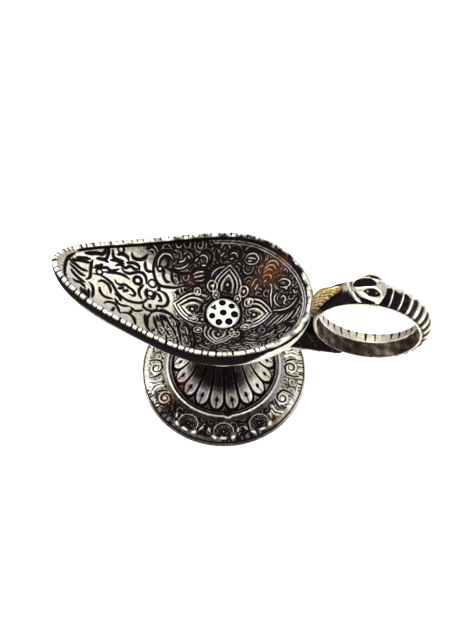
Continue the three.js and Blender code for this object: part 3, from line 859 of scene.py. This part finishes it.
def lip_of_bowl():
    """The lip's rows, a rounded bead cut by the notches, with their wear and painted shade."""
    side = np.sin(TURN) * 20
    far = ramp(side, 1, 9) * ramp(RIM_X, -46, -30) * (1 - ramp(RIM_X, 19, 25))
    back = ramp(RIM_X, 14, 23)
    dull = ramp(side, 4, 14) * ramp(RIM_X, -36, -6)
    near = ramp(-side, 4, 12)
    smooth = near * ramp(RIM_X, 14, 20)
    tip_side = ramp(-RIM_X, 35, 45)
    dimmed = far * (0.06 + 0.34 * ramp(RIM_X, -2, 9)) + 0.36 * dull + 0.3 * back
    rows = []
    wear_and_painted_light = []
    for inset, rise in LIP:
        slant = ACROSS_NOTCH + 0.11 * (inset - 0.9) * (CHANCES[:, 1] - 0.3)
        width = 0.12 + 0.1 * CHANCES[:, 2] + far * 0.03 * inset
        outer_half = near * ramp(RIM_X, -3, 7) * (1 - ramp(inset, 0.3, 1.1))
        deep = (0.6 + 0.4 * CHANCES[:, 1]) * (1 - 0.75 * back) * (1 - outer_half) * (1 - 0.7 * smooth)
        deep *= 1 - 0.8 * far * (1 - bump(inset - 0.95, 0.8))
        cut = bump(slant, width * (1 - 0.25 * far)) * ramp(inset, 0.0, 0.35) * deep
        rows.append(np.stack([*rim_point(TURN, inset), RIM_TOP + rise - 0.4 * cut], -1))
        edge = ramp(inset, 1.75, 1.88) + ramp(-inset, -0.28, -0.1)
        shade = dimmed * (0.35 + 0.65 * ramp(inset, 0.75, 1.4)) + 0.12 * smooth + 0.14 * tip_side
        shade += (0.55 - 0.3 * tip_side) * near * (1 - smooth) * (1 - ramp(inset, 0.4, 0.85))
        blot = 0.22 * np.sin(PHASE * 2.1) * np.sin(PHASE * 0.37 + 2 * inset)
        wear_and_painted_light.append(1.0 - 1.15 * cut - 0.7 * edge - shade + blot * (far + back + 0.45))
    return np.array(rows), np.array(wear_and_painted_light)


def outside_brightness(x, drop, share):
    """The wall's outside is dark in a band under the near rim, and bright where it turns under."""
    depth = 6.3 - 2.3 * ramp(-x, 4, 30) - 6 * ramp(x, 6, 19)
    wall = 1 - ramp(drop, depth - 0.6, depth + 0.6)
    under = 0.9 - 0.28 * ramp(-x, 6, 30) - 0.2 * ramp(1 - share, 0.25, 0.5)
    return 0.02 * wall + under * (1 - wall)


def outside_of_bowl():
    """Rows down the wall, in under the bowl to the boss, and down the boss, with their brightness."""
    reach = np.hypot(RIM_X, RIM_Y)
    least = SEAT_RADIUS / reach
    rows = []
    wear_and_painted_light = []
    for row in 1 - (1 - np.linspace(1, 0, OUTER_ROWS)[1:-1]) ** 1.9:
        share = least + (1 - least) * row
        z = outer_height(RIM_TOP, share)
        rows.append(np.stack([RIM_X * share, RIM_Y * share, z], -1))
        wear_and_painted_light.append(outside_brightness(RIM_X * share, RIM_TOP - z, share))
    boss_top = outer_height(RIM_TOP, least)
    for down in (0, 0.5, 1):
        rows.append(np.stack([RIM_X * least, RIM_Y * least, boss_top + (SEAT_Z - boss_top) * down], -1))
        wear_and_painted_light.append(np.full(BOWL_COLUMNS, 0.5))
    return np.array(rows), np.array(wear_and_painted_light)


def boundary_loop(quads, known):
    """The open edge through the known points, in order round the bore."""
    edges = {}
    for a, b, c, d in quads[np.isin(quads, known).any(1)]:
        for p, q in ((a, b), (b, c), (c, d), (d, a)):
            if (q, p) in edges:
                del edges[(q, p)]
            elif p != q:
                edges[(p, q)] = True
    onward = {p: q for p, q in edges if p in known or q in known}
    first = next(p for p in onward if p in known)
    loop = [first]
    while onward.get(loop[-1], first) != first:
        loop.append(onward[loop[-1]])
    return np.array(loop)


def zip_loops(points, outer, inner):
    """Triangles between two loops round the axis, matched by bearing."""
    def ordered(loop):
        """The loop by bearing, back to its first point, and the bearing that follows each point."""
        bearing = np.arctan2(points[loop, 1], points[loop, 0]) % (2 * math.pi)
        order = np.argsort(bearing)
        following = np.append(bearing[order[1:]], [bearing[order[0]] + 2 * math.pi, math.inf])
        return np.append(loop[order], loop[order[0]]), following

    a, next_a = ordered(outer)
    b, next_b = ordered(inner)
    i = j = 0
    triangles = []
    while i < len(outer) or j < len(inner):
        if next_a[i] <= next_b[j]:
            triangles.append((a[i], a[i + 1], b[j]))
            i += 1
        else:
            triangles.append((a[i], b[j + 1], b[j]))
            j += 1
    return np.array(triangles)


def drop_unused(points, faces, *values):
    used = np.unique(np.concatenate([f.ravel() for f in faces]))
    renumber = np.zeros(len(points), int)
    renumber[used] = np.arange(len(used))
    return (points[used], [renumber[f] for f in faces], *[v[used] for v in values])


def welded(faces, count):
    """Makes the slit's two sides one, except round the bore."""
    weld = np.arange(count)
    half = np.arange(BOWL_COLUMNS // 2 + 1, BOWL_COLUMNS)
    shut = half[SLIT_Y[half] == 0]
    weld[shut] = BOWL_COLUMNS - shut
    return weld[faces]


def make_bowl():
    inside, inside_wear_and_light, rust = inside_of_bowl()
    lip, lip_wear_and_shade = lip_of_bowl()
    outside, outside_tone = outside_of_bowl()
    skin = np.concatenate([inside, lip, outside])
    turn = full_turn(BORE_POINTS)
    bore_low = np.stack([BORE_RADIUS * np.cos(turn), BORE_RADIUS * np.sin(turn), 0 * turn + SEAT_Z], -1)
    points = np.vstack([skin.reshape(-1, 3), bore_low])
    faces = welded(grid_faces(len(skin), BOWL_COLUMNS), len(points))
    # The seat's flat face and the bore's wall close the casting.
    low = np.arange(len(points) - BORE_POINTS, len(points))
    last_row = low[0] - BOWL_COLUMNS + np.arange(BOWL_COLUMNS)
    seat = zip_loops(points, last_row, low)
    wall = zip_loops(points, low, boundary_loop(faces, np.flatnonzero(SLIT_Y)))
    wear_and_painted_light = np.concatenate([inside_wear_and_light, lip_wear_and_shade, outside_tone]).ravel()
    wear_and_painted_light = np.append(wear_and_painted_light, np.full(BORE_POINTS, 0.4))
    rust = np.concatenate([rust.ravel(), np.zeros(len(points) - rust.size)])
    points, faces, wear_and_painted_light, rust = drop_unused(points, [faces, seat, wall], wear_and_painted_light, rust)
    finish_piece("bowl_casting", points, faces, wear_and_painted_light, "bowl", white_metal, rust)


make_bowl()

# ---------------------------------------------------------------- the pedestal
PETALS = 18
PETAL_END = 13.6
FOOT_COLUMNS = 600
FLANGE, RIDGE, PETAL_CONE = 2, 3, 5
# The section's stretches, round it from the bore's lower edge: points, rows, and whether it is a curve.
SECTIONS = [
    ([(2.3, 15), (6.6, 15), (7, 13), (10, 8), (13.5, 4), (17.5, 2), (22, 0.9), (22.8, 0)], 18, False),
    ([(22.8, 0), (26.2, 0), (26.2, 1.1)], 4, False),
    ([(26.2, 1.1), (25.9, 1.45), (25.2, 1.7), (22.5, 2.35), (19.2, 3.0)], 34, True),
    ([(19.2, 3.0), (18.8, 3.3), (18.5, 4.1), (17.9, 4.8), (17.2, 4.9), (16.7, 4.3), (16.5, 3.7)], 14, True),
    ([(16.5, 3.7), (16.2, 3.7), (15.9, 4.1)], 3, True),
    ([(15.9, 4.1), (15.1, 5.2), (13, 7.3), (11, 9.9), (9.5, 13.2), (8.4, 17), (7.8, 20)], 44, True),
    ([(7.8, 20), (8.1, 20.4), (8.7, 20.7), (9.1, 21.6), (8.7, 22.5), (7.9, 23.2)], 10, True),
    ([(7.9, 23.2), (8.3, 27.5), (9.4, 31.4), (10.4, 33.0), (10.4, 33.7)], 12, True),
    ([(10.4, 33.7), (2.3, 33.7), (2.3, 15)], 5, False),
]


def stretch_points(points, rows, smooth):
    corners = np.array(points, float)
    if smooth:
        dense = smooth_curve(corners, 0.05)
    else:
        part = np.linspace(0, 1, 40, endpoint=False)[:, None]
        dense = np.vstack([a + part * (b - a) for a, b in zip(corners, corners[1:])] + [corners[-1:]])
    along = running_sum(np.linalg.norm(np.diff(dense, axis=0), axis=1))
    place = np.linspace(0, along[-1], rows + 1)[:-1]
    if not smooth:
        for corner in corners[:-1]:
            here = along[np.argmin(np.linalg.norm(dense - corner, axis=1))]
            place[np.argmin(np.abs(place - here))] = here
        place = np.sort(place)
    return np.stack([np.interp(place, along, dense[:, k]) for k in (0, 1)], -1)


foot_art = Relief((-27, -27), (27, 27))


# The flange's ornament at bearing 0: each line's width and points.
VOLUTE = np.array([21.4, 0])
VOLUTE_GROOVES = [
    (0.45, [(24, -2.8), (22.2, -2.95), (20.2, -2.3), (19.6, -0.2), (20, 1.9), (21.6, 3), (23.4, 3.2)]),
    (0.36, [(20.4, 4.7), (21.8, 5.4), (23.6, 4.6)]),
]
VOLUTE_RIDGES = [
    (0.5, [(24.2, -1.2), (24.9, -0.3)]),
    (0.5, [(24.2, 1.4), (24.9, 0.6)]),
    (0.5, [(19.9, 3.9), (21.2, 4.9), (23, 4.6), (23.9, 3.7)]),
    (0.42, [(20.4, 5.6), (22, 5.9), (23.6, 5.2)]),
]
FAN = np.array([22.2, 0])
FAN_RIDGES = [(0.75, [(23.5, 3.5), (24.3, 2.5)]), (0.4, [(21.0, 4.7), (22.3, 4.3)])]


def draw_volute(bearing, hand):
    """A scroll on the flange: nested rings open to the edge, a bead in the middle and drops beside it."""
    turn = np.linspace(-0.2 * math.pi, 2.2 * math.pi, 40)
    radius = 2.35 - 1.5 * np.linspace(0, 1, 40)
    spiral = np.stack([-radius * np.cos(turn), radius * np.sin(turn)], -1)
    grooves = VOLUTE_GROOVES + [(0.36, VOLUTE + 0.78 * spiral)]
    ridges = VOLUTE_RIDGES + [(0.38, VOLUTE + spiral)]
    foot_art.draw_lines(grooves, ridges, bearing, (1, hand))
    foot_art.draw(foot_art.ridge, placed([VOLUTE], bearing), 0.9)


def draw_fan(bearing):
    """A fan on the flange: arcs round a bead, open to the edge, with drops on each side."""
    turn = np.linspace(-0.62 * math.pi, 0.62 * math.pi, 24)
    for radius in (1.25, 1.85, 2.45, 3.05):
        arc = np.stack([-0.85 * radius * np.cos(turn), radius * np.sin(turn)], -1)
        foot_art.draw_lines([(0.3, FAN + 0.86 * arc)], [(0.22, FAN + arc)], bearing)
    foot_art.draw(foot_art.ridge, placed([FAN], bearing), 0.6)
    foot_art.draw(foot_art.groove, placed([FAN], bearing), 1.1)
    for hand in (1, -1):
        foot_art.draw_lines([], FAN_RIDGES, bearing, (1, hand))
    foot_art.draw_lines([], [(0.6, [(24.2, -0.9), (24.4, 0.9)])], bearing)


ORNAMENTS = 12
FRONT_FANS = (11, 0, 1)
EDGE_STROKES = 110


def draw_foot_art():
    for k in range(ORNAMENTS):
        bearing = math.radians(-81 + 30 * k)
        if k in FRONT_FANS:
            draw_fan(bearing)
        else:
            draw_volute(bearing, 1 if k % 2 else -1)
    for k in range(EDGE_STROKES):
        a = 2 * math.pi * (k + 0.3 * math.sin(2.3 * k)) / EDGE_STROKES
        long = 0.6 + 0.9 * ramp(math.sin(5 * a + 1), 0.2, 0.7)
        direction = np.array([math.cos(a), math.sin(a)])
        if math.sin(5 * a + 1) > -0.2:
            foot_art.carve([direction * (25.5 - long), direction * 25.5], 0.28)
    foot_art.ring(foot_art.groove, (0, 0), 25.7, 0.22)


draw_foot_art()


def front_of_foot(bearing):
    """1 at the foot's front, where it gets painted shade, down to 0 at its sides and back."""
    return ramp(np.cos(bearing + math.radians(88)), 0.28, 0.88)


def flange_ground(x, y):
    """How strong the small curls are on the flange: full at the front, and less round the back."""
    radius = np.hypot(x, y)
    band = ramp(radius, 19.0, 19.6) * ramp(-radius, -24.4, -23.8)
    return band * (0.46 + 0.54 * front_of_foot(np.arctan2(y, x)))


fill_with_curls(foot_art, 2.6, flange_ground)


def petal_relief(turn, r):
    """Lobes with a round end, a raised edge and a pierced drop: their lift, and their wear with painted
    shade.
    """
    step = 2 * math.pi / PETALS
    across = ((turn + math.pi / 2 + step / 2) % step - step / 2) * r
    width = np.tan(step / 2) * np.minimum(r, PETAL_END) * 0.93
    away = np.hypot(across, np.maximum(0, r - PETAL_END)) / width
    lobe = np.clip(1 - away**2, 0, 1)
    seam = bump(away - 1.05, 0.24)
    rim = bump(away - 0.74, 0.2)
    tail = bump(np.hypot(across, 0.38 * np.clip(13.2 - r, 0, 9)), 0.42) * ramp(r, 8.5, 10.5)
    pit = bump(np.hypot(across, r - 13.4), 0.75)
    lift = ramp(r, 7.8, 8.8) * (0.5 * np.sqrt(lobe) + 0.14 * rim - 0.36 * seam - 0.12 * tail - 0.55 * pit)
    # Painted shadow of the bowl over the petals' upper parts, deeper at the front.
    high = ramp(-r, -12.9, -9.6)
    outline = bump(away - 1.36, 0.16) * ramp(r, 10, 12)
    wear_and_painted_light = (0.66 + 0.22 * rim + 0.14 * lobe - 1.1 * seam - 0.4 * tail - 1.5 * pit + 0.3 * outline
            - (0.34 + 0.2 * front_of_foot(turn)) * high - 0.3 * (away > 1.12))
    # The front petals get painted shade.
    return lift, wear_and_painted_light + 0.14 - 0.32 * front_of_foot(turn + math.radians(16))


def make_pedestal():
    stretches = [stretch_points(*stretch) for stretch in SECTIONS]
    section = np.vstack(stretches)
    turn = full_turn(FOOT_COLUMNS) + np.zeros((len(section), 1))
    stretch_of = np.repeat(np.arange(len(stretches)), [len(s) for s in stretches])[:, None]
    stretch_of = stretch_of + np.zeros(turn.shape, int)
    on_flange = stretch_of == FLANGE
    on_ridge = stretch_of == RIDGE

    # A small pinch in the ridge round the petals, at the front.
    pinch = bump((turn - math.radians(-76.5) + math.pi) % (2 * math.pi) - math.pi, math.radians(5))
    r = section[:, :1] + 0.55 * pinch * on_ridge
    x, y, z = r * np.cos(turn), r * np.sin(turn), section[:, 1:] + 0 * turn
    petal_lift, petal_wear_and_shade = petal_relief(turn, r)
    groove = foot_art.read(foot_art.groove, x, y) * on_flange
    ridge = foot_art.read(foot_art.ridge, x, y) * on_flange
    channel = on_ridge * bump(r - 17.35, 0.34)
    lift = (stretch_of == PETAL_CONE) * petal_lift + 0.36 * ridge - 0.34 * groove - 0.22 * channel

    # Painted shade on the flange and the ridge at the front, and painted highlight at the sides, over their
    # rubbed ridges and dark grooves.
    side = 1 - front_of_foot(turn)
    flange_wear_and_light = 0.38 + 0.54 * side + (0.52 - 0.3 * side) * ridge - 1.7 * groove * (1 - ridge)
    crest = np.maximum(bump(r - 18.0 - 0.55 * pinch, 0.42), 0.7 * bump(r - 16.8, 0.3))
    ridge_wear_and_light = 0.26 + 0.42 * side + (0.64 - 0.28 * side) * crest - 0.6 * channel
    wear_and_painted_light = np.choose(stretch_of, [0.55, 0.55, flange_wear_and_light, ridge_wear_and_light, -0.1, petal_wear_and_shade, 0.75, 0.45, 0.5])

    points = np.stack([x, y, z], -1).reshape(-1, 3)
    faces = grid_faces(len(section), FOOT_COLUMNS, wrap_rows=True)
    normals = normals_of(points, [faces])
    if np.sum(normals[on_flange.ravel(), 2]) < 0:
        normals = -normals
    points = points + normals * lift.ravel()[:, None]
    finish_piece("pedestal_casting", points, [faces], wear_and_painted_light.ravel(), "pedestal",
                 white_metal, spots(x, y, FOOT_RUST).ravel())


make_pedestal()

# ---------------------------------------------------------------- the handle ring
RING_X, RING_Z = 42.3, 46.1
RING_INNER_RADIUS = 14.5
RING_HALF_WIDTH = 3.8
RING_COLUMNS, RING_ROWS = 720, 72
RIBS = 35
# The band's section, out and back: depth from 0 inside to 1 outside, and side from -1 to 1.
BAND = [(0, 0), (0.13, 0.94), (0.34, 1), (0.56, 0.92), (0.86, 0.56), (1, 0), (0.86, -0.56), (0.56, -0.92),
        (0.34, -1), (0.13, -0.94)]


def away_from_bowl(angle):
    return np.sqrt(0.5 + 0.5 * np.cos(angle))


def ring_thickness(angle):
    return 1.3 + 2.2 * away_from_bowl(angle)


def ring_point(angle, radius, across):
    return np.stack([RING_X + radius * np.cos(angle), across, RING_Z + radius * np.sin(angle)], -1)


def ring_section():
    """The band's depths and sides in even steps round its section."""
    section = smooth_curve(BAND, 0.03, closed=True)[:-1]
    size = (ring_thickness(0), RING_HALF_WIDTH)
    step = np.linalg.norm(np.diff(section * size, axis=0), axis=1)
    along = running_sum(step)
    place = np.linspace(0, along[-1], RING_ROWS, endpoint=False)
    return [np.interp(place, along, section[:, k])[:, None] for k in (0, 1)]


def make_ring():
    depth, side = ring_section()
    angle = full_turn(RING_COLUMNS)
    angle, depth, side = np.broadcast_arrays(angle, depth, side)
    turned = (angle + math.pi) % (2 * math.pi) - math.pi
    bearing = np.degrees(turned)
    outward = ramp(depth, 0.3, 0.6)

    # Ribs across the outside, faint ones underneath, and one stroke on the neck.
    beat = (angle + 0.02 * side) * RIBS / (2 * math.pi)
    wide = 0.13 + 0.22 * ramp(-np.abs(bearing - 5), -60, -35)
    neck = ramp(bearing, 103, 105) * ramp(-bearing, -170, -166)
    under = ramp(-bearing, 75, 95) + ramp(bearing, 165, 170)
    stroke = bump(turned - math.radians(112) - 0.1 * side, 0.03) * outward * ramp(side, -0.75, -0.35)
    rib = bump((beat + 0.5) % 1 - 0.5, wide) * outward
    rib = rib * (1 - neck) * (1 - 0.9 * np.clip(under, 0, 1)) + 0.9 * stroke
    middle_line = bump(side - 0.2, 0.1) * (1 - outward)
    radius = RING_INNER_RADIUS + depth * ring_thickness(angle) - 0.16 * middle_line
    radius = radius + 0.34 * rib - 0.2 * outward * (1 - rib) * away_from_bowl(angle)
    points = ring_point(angle, radius, side * RING_HALF_WIDTH)

    # The outside is dark between the ribs, and bright along its far edge and on top of the neck.
    lit = ramp(-np.abs(bearing - 5), -75, -30)
    ragged = 0.12 * np.sin(23 * angle) + 0.1 * np.sin(61 * angle + 1) + 0.08 * np.sin(97 * angle)
    far_edge = ramp(side + 0.5 * ragged, 0.28, 0.5) * (1 - neck)
    neck_top = bump(bearing - 118, 13) * ramp(side + ragged, -0.35, 0.15)
    wear_and_painted_light = 0.1 + 0.2 * lit + (0.75 + 0.1 * lit) * rib + 0.8 * far_edge + 0.5 * neck_top

    # The inside is bright on its far half, and patchy on its near half.
    near = ramp(-side + 0.2 + 0.2 * ragged, -0.08, 0.08)
    nick = bump(beat % 1 - 0.5, 0.2) * ramp(side + 1.5 * ragged, 0.45, 0.7)
    patches = 0.1 * np.sin(5 * angle + 1)
    patches += 0.12 * np.sin(19 * angle + 5 * side) * np.sin(7 * angle - 3 * side)
    patches += 0.05 * np.sin(97 * angle + 3 * side) * np.sin(23 * side + 7 * angle)
    inside = 0.86 - 0.26 * lit * (1 - near) - 0.9 * nick * (1 - near) - (0.54 - patches) * near
    wear_and_painted_light = wear_and_painted_light * outward + inside * (1 - outward) + 0.55 * middle_line
    rust = 0.16 * (1 - outward) * (near + (1 - near) * lit)

    # The corners are rubbed bright, and so is the near side next to the bowl.
    edge = bump(depth - 0.3, 0.24) * ramp(np.abs(side), 0.8, 0.95)
    low_edge = ramp(-bearing, 20, 60) * (1 - ramp(-bearing, 140, 165))
    by_bowl = bump(np.abs(bearing) - 175, 36) * ramp(-side, 0.5, 0.8)
    wear_and_painted_light = np.maximum(wear_and_painted_light, (0.96 - 0.2 * low_edge + 0.3 * ragged) * np.maximum(edge, by_bowl))
    faces = grid_faces(RING_ROWS, RING_COLUMNS, wrap_rows=True)
    finish_piece("serpent_ring", points.reshape(-1, 3), [faces], wear_and_painted_light.ravel(), "handle_ring",
                 white_metal, rust.ravel())


make_ring()


# ---------------------------------------------------------------- pieces that keep the CAD's own skin
def fine_copy(node_name, voxel, smoothing):
    """The CAD node's skin as a fine, softened mesh: points in millimetres, and its triangles and quads."""
    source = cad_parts[node_name].data
    mesh = source.copy()
    obj = bpy.data.objects.new(node_name + "_blank", mesh)
    bpy.context.scene.collection.objects.link(obj)
    co = np.empty(len(mesh.vertices) * 3)
    mesh.vertices.foreach_get("co", co)
    co = (co.reshape(-1, 3) - (AXIS_X, 0, 0)) / MM
    mesh.vertices.foreach_set("co", co.ravel())
    mesh.update()
    remesh = obj.modifiers.new("remesh", "REMESH")
    remesh.mode = "VOXEL"
    remesh.voxel_size = voxel
    relax = obj.modifiers.new("relax", "SMOOTH")
    relax.factor = 0.5
    relax.iterations = smoothing
    made = bpy.data.meshes.new_from_object(obj.evaluated_get(bpy.context.evaluated_depsgraph_get()))
    points = np.empty(len(made.vertices) * 3)
    made.vertices.foreach_get("co", points)
    quads = np.array([p.vertices[:] for p in made.polygons if len(p.vertices) == 4], int).reshape(-1, 4)
    triangles = np.array([p.vertices[:] for p in made.polygons if len(p.vertices) == 3], int).reshape(-1, 3)
    bpy.data.objects.remove(obj)
    bpy.data.meshes.remove(mesh)
    bpy.data.meshes.remove(made)
    return points.reshape(-1, 3), [f for f in (quads, triangles) if len(f)]


HEAD_ANGLE = math.radians(94.6)
HEAD_RADIUS = 16.8
LEAF_ANGLE = math.radians(167)
LEAF_RADIUS = 16.2


def ring_frame(points):
    """Angle round the ring and distance from its middle, for points of the handle."""
    dx, dz = points[:, 0] - RING_X, points[:, 2] - RING_Z
    return np.arctan2(dz, dx), np.hypot(dx, dz)


# The head's ornament on its far half, along the ring and across it: each line's width and points.
HEAD_RIDGES = [
    (0.55, [(3.6, 0.2), (2.4, 1.3), (0.6, 1.5), (-1.2, 1.2), (-2.8, 1.7), (-3.6, 2.6)]),
    (0.42, [(1.8, 2.6), (0.4, 3.5), (-1.4, 3.8), (-3.2, 3.2), (-3.8, 2.2)]),
    (0.45, [(4.2, 1.4), (3.2, 3.0), (1.4, 4.5)]),
]
HEAD_GROOVES = [
    (0.42, [(0.9, 2.4), (-0.4, 1.85), (-1.8, 1.85), (-2.7, 2.4), (-1.8, 2.95), (-0.4, 3.05), (0.9, 2.4)]),
    (0.5, [(-0.2, 2.45), (-1.8, 2.45)]),
    (0.4, [(3.4, 1.8), (2.0, 3.6), (0, 4.25), (-3.6, 4.2)]),
]


def make_head():
    points, faces = fine_copy("serpent_head", 0.16, 4)
    angle, radius = ring_frame(points)
    along = (angle - HEAD_ANGLE) * HEAD_RADIUS
    across = points[:, 1]
    art = Relief((-8, -6), (8, 6), 0.06)
    for hand in (1, -1):
        art.draw_lines(HEAD_GROOVES, HEAD_RIDGES, stretch=(1, hand))
    groove = art.read(art.groove, along, across)
    ridge = art.read(art.ridge, along, across)
    lift = (0.34 * ridge - 0.4 * groove) * ramp(radius, 15.8, 17.0)
    points = points + normals_of(points, faces) * lift[:, None]
    # A painted dark reflection on the skull's crown, with bright ridges and dark grooves round it.
    skull_reflection = ramp(-np.hypot((along - 1.0) / 2.9, across / 1.45), -1.05, -0.8)
    wear_and_painted_light = 0.72 - 0.75 * skull_reflection + 0.5 * ridge * (1 - skull_reflection) - 1.1 * groove * (1 - ridge)
    finish_piece("serpent_head_casting", points, faces, wear_and_painted_light, "serpent_head",
                 white_metal)


make_head()


def make_leaf():
    points, faces = fine_copy("leaf_lug", 0.16, 3)
    angle, radius = ring_frame(points)
    along = (LEAF_ANGLE - angle) * LEAF_RADIUS
    across = points[:, 1]
    top = ramp(radius, 16.2, 16.9)
    spread = across + 0.28 * along + 0.15 * np.sin(1.7 * along)
    vein = bump((spread / 0.85) % 1 - 0.5, 0.24)
    bands = bump((along / 1.9 - 0.2 * across) % 1 - 0.5, 0.14)
    vein = np.maximum(vein, 0.7 * bands)
    midrib = bump(across - 0.6, 0.35)
    lift = (-0.16 * vein * (1 - midrib) + 0.2 * midrib) * top
    points = points + normals_of(points, faces) * lift[:, None]
    base = ramp(-along, -2.6, -0.4) + ramp(-across, 2.2, 3.4)
    wear_and_painted_light = 0.84 - 0.6 * vein * (1 - midrib) + 0.22 * midrib - 0.42 * np.clip(base, 0, 1)
    finish_piece("brass_leaf", points, faces, wear_and_painted_light, "leaf_lug", brass)


make_leaf()


def make_tail():
    points, faces = fine_copy("tail_bracket", 0.28, 5)
    x, y, z = points.T
    rib = bump(((x * 0.9 + 0.35 * z) / 4.3) % 1 - 0.5, 0.12) * ramp(np.abs(y), 2.2, 2.7)
    blot = 0.5 + 0.5 * np.sin(2.1 * x + 1) * np.sin(1.3 * z)
    # The bracket is dark, with a painted highlight along its lower part.
    wear_and_painted_light = 0.08 + 0.3 * rib * blot + 0.8 * ramp(z, 29.5, 28.4)
    points = points + normals_of(points, faces) * 0.22 * rib[:, None]
    finish_piece("tail_casting", points, faces, wear_and_painted_light, "tail_bracket", white_metal)


make_tail()

# ---------------------------------------------------------------- the pod bolt, washer and nut
SEEDS = [(0, 0)] + [(3.4 * math.cos(math.radians(a)), 3.4 * math.sin(math.radians(a)))
                    for a in (0, 51, 103, 154, 206, 257, 309)]
FILLED_SEED = 4
SEED_DEPTH = 0.95
BOLT_TIP, THREAD_TOP, PITCH = 8.8, 16.4, 0.7
CREST_RADIUS, ROOT_RADIUS = 1.98, 1.68


def lathe(section, columns):
    """Points and quads of a section turned about the axis, with its two ends on the axis."""
    turn = full_turn(columns)
    r, z = section[1:-1, :1], section[1:-1, 1:]
    body = np.stack([r * np.cos(turn), r * np.sin(turn), z + 0 * turn], -1).reshape(-1, 3)
    points = np.vstack([body, [(0, 0, section[0, 1]), (0, 0, section[-1, 1])]])
    count = len(section) - 2
    faces = grid_faces(count, columns)
    first = fan_faces(len(body), np.arange(columns))
    last = fan_faces(len(body) + 1, np.arange((count - 1) * columns, count * columns), True)
    return points, [faces, np.vstack([first, last])]


def bolt_section():
    """The bolt's section from its tip, up its thread and shank, to the middle of its head's top."""
    turns = range(int((THREAD_TOP - BOLT_TIP) / PITCH * 2))
    thread = [(CREST_RADIUS if k % 2 else ROOT_RADIUS, BOLT_TIP + 0.5 + k * PITCH / 2) for k in turns]
    tip = [(0, BOLT_TIP), (1.3, BOLT_TIP), (1.6, BOLT_TIP + 0.3)]
    shank = [(2, 17), (2, 25), (2, 37.2), (4.9, 37.2), (5.1, 37.35), (5.1, 38.1)]
    cap = [(r, POD_TOP_Z - 0.012 * r * r - 0.35 * ramp(r, 4.2, 5.1)) for r in np.linspace(4.95, 0, 62)]
    return np.array(tip + thread + shank + cap)


def seed_pits(x, y):
    """1 in the pod's round seed holes, down to 0 outside them. One is nearly filled."""
    pit = np.zeros(len(x))
    for k, (seed_x, seed_y) in enumerate(SEEDS):
        away = np.hypot(x - seed_x, y - seed_y)
        size = 1.08 + 0.1 * math.sin(2.1 * k)
        hole = ramp(-away, -size, -size + 0.28)
        if k == FILLED_SEED:
            ragged = 0.25 * np.sin(3 * np.arctan2(y - seed_y, x - seed_x) + 1)
            ragged = ragged + 0.25 * np.sin(5 * x) * np.sin(4 * y)
            hole = 0.3 * ramp(-(away + ragged), -1.0, -0.4)
        pit = np.maximum(pit, hole)
    return pit


def make_bolt():
    points, faces = lathe(bolt_section(), 168)
    x, y, z = points.T
    on_top = z > 38.2
    pit = seed_pits(x, y) * on_top
    dimple = bump(np.hypot(x - 0.2, y - 1.5), 0.9) * on_top
    wear_and_painted_light = np.where(on_top, 0.81 - 1.4 * ramp(pit, 0.05, 0.4), 0.35) - 0.25 * (np.hypot(x, y) > 4.85)
    points[:, 2] -= SEED_DEPTH * pit + 0.12 * dimple
    finish_piece("seed_pod_bolt_head", points, faces, wear_and_painted_light, "seed_pod_bolt",
                 polished_metal)


def ring_rows(section, columns):
    """Points and quads of a closed section turned about the axis; a radius may vary with the turn."""
    turn = full_turn(columns)
    rows = [np.stack([r * np.cos(turn), r * np.sin(turn), z + 0 * turn], -1) for r, z in section]
    return np.vstack(rows), [grid_faces(len(rows), columns, wrap_rows=True)]


def make_washer():
    section = [(2.3, 13.95), (2.4, 13.9), (4.3, 13.9), (4.5, 14.0), (4.5, 14.6), (4.35, 14.7), (2.4, 14.7),
               (2.3, 14.6)]
    points, faces = ring_rows(section, 96)
    wear_and_painted_light = 0.7 + 0.1 * np.sin(points[:, 0] * 5)
    finish_piece("tie_washer_ring", points, faces, wear_and_painted_light, "tie_washer", steel)


NUT_LOW, NUT_HIGH = 10.4, 13.6
NUT_COLUMNS = 144
HALF_FLATS = 3.5


def make_nut():
    """A hexagon nut with chamfered corners and a threaded bore."""
    turn = full_turn(NUT_COLUMNS)
    flat = HALF_FLATS / np.cos((turn + math.pi / 6) % (math.pi / 3) - math.pi / 6)
    section = []
    for z, limit in ((NUT_LOW, 3.4), (NUT_LOW + 0.12, 3.62), (NUT_LOW + 0.35, 4.1), (12, 4.1),
                     (NUT_HIGH - 0.35, 4.1), (NUT_HIGH - 0.12, 3.62), (NUT_HIGH, 3.4)):
        section.append((np.minimum(flat, limit), z))
    for k, z in enumerate(np.linspace(NUT_HIGH, NUT_LOW, 11)):
        widened = 0.22 if k in (0, 10) else 0.16 * (k % 2 == 0)
        section.append((BORE_RADIUS + widened, z))
    points, faces = ring_rows(section, NUT_COLUMNS)
    wear_and_painted_light = np.full(len(points), 0.7)
    finish_piece("tie_nut_hexagon", points, faces, wear_and_painted_light, "tie_nut", steel)


make_bolt()
make_washer()
make_nut()


# ---------------------------------------------------------------- the table it stands on
TABLE_Z = -0.05


def add_floor():
    half = 1500
    corners = ((-half, -half), (half, -half), (half, half), (-half, half))
    points = np.array([(x, y, TABLE_Z) for x, y in corners])
    floor = build_mesh("floor", points, [np.array([[0, 1, 2, 3]])], {})
    material = bpy.data.materials.new("floor")
    material.use_nodes = True
    shader = material.node_tree.nodes["Principled BSDF"]
    shader.inputs["Base Color"].default_value = (0.9, 0.9, 0.9, 1)
    shader.inputs["Roughness"].default_value = 0.8
    floor.data.materials.append(material)


add_floor()
add_world(0.42)
add_light("overhead", (-60, 60, 620), (520, 520), 6.2)
add_light("left", (-520, -120, 330), (300, 300), 3)
add_light("right", (420, -260, 420), (200, 300), 2)
add_camera()
bpy.context.scene.view_settings.view_transform = "Standard"
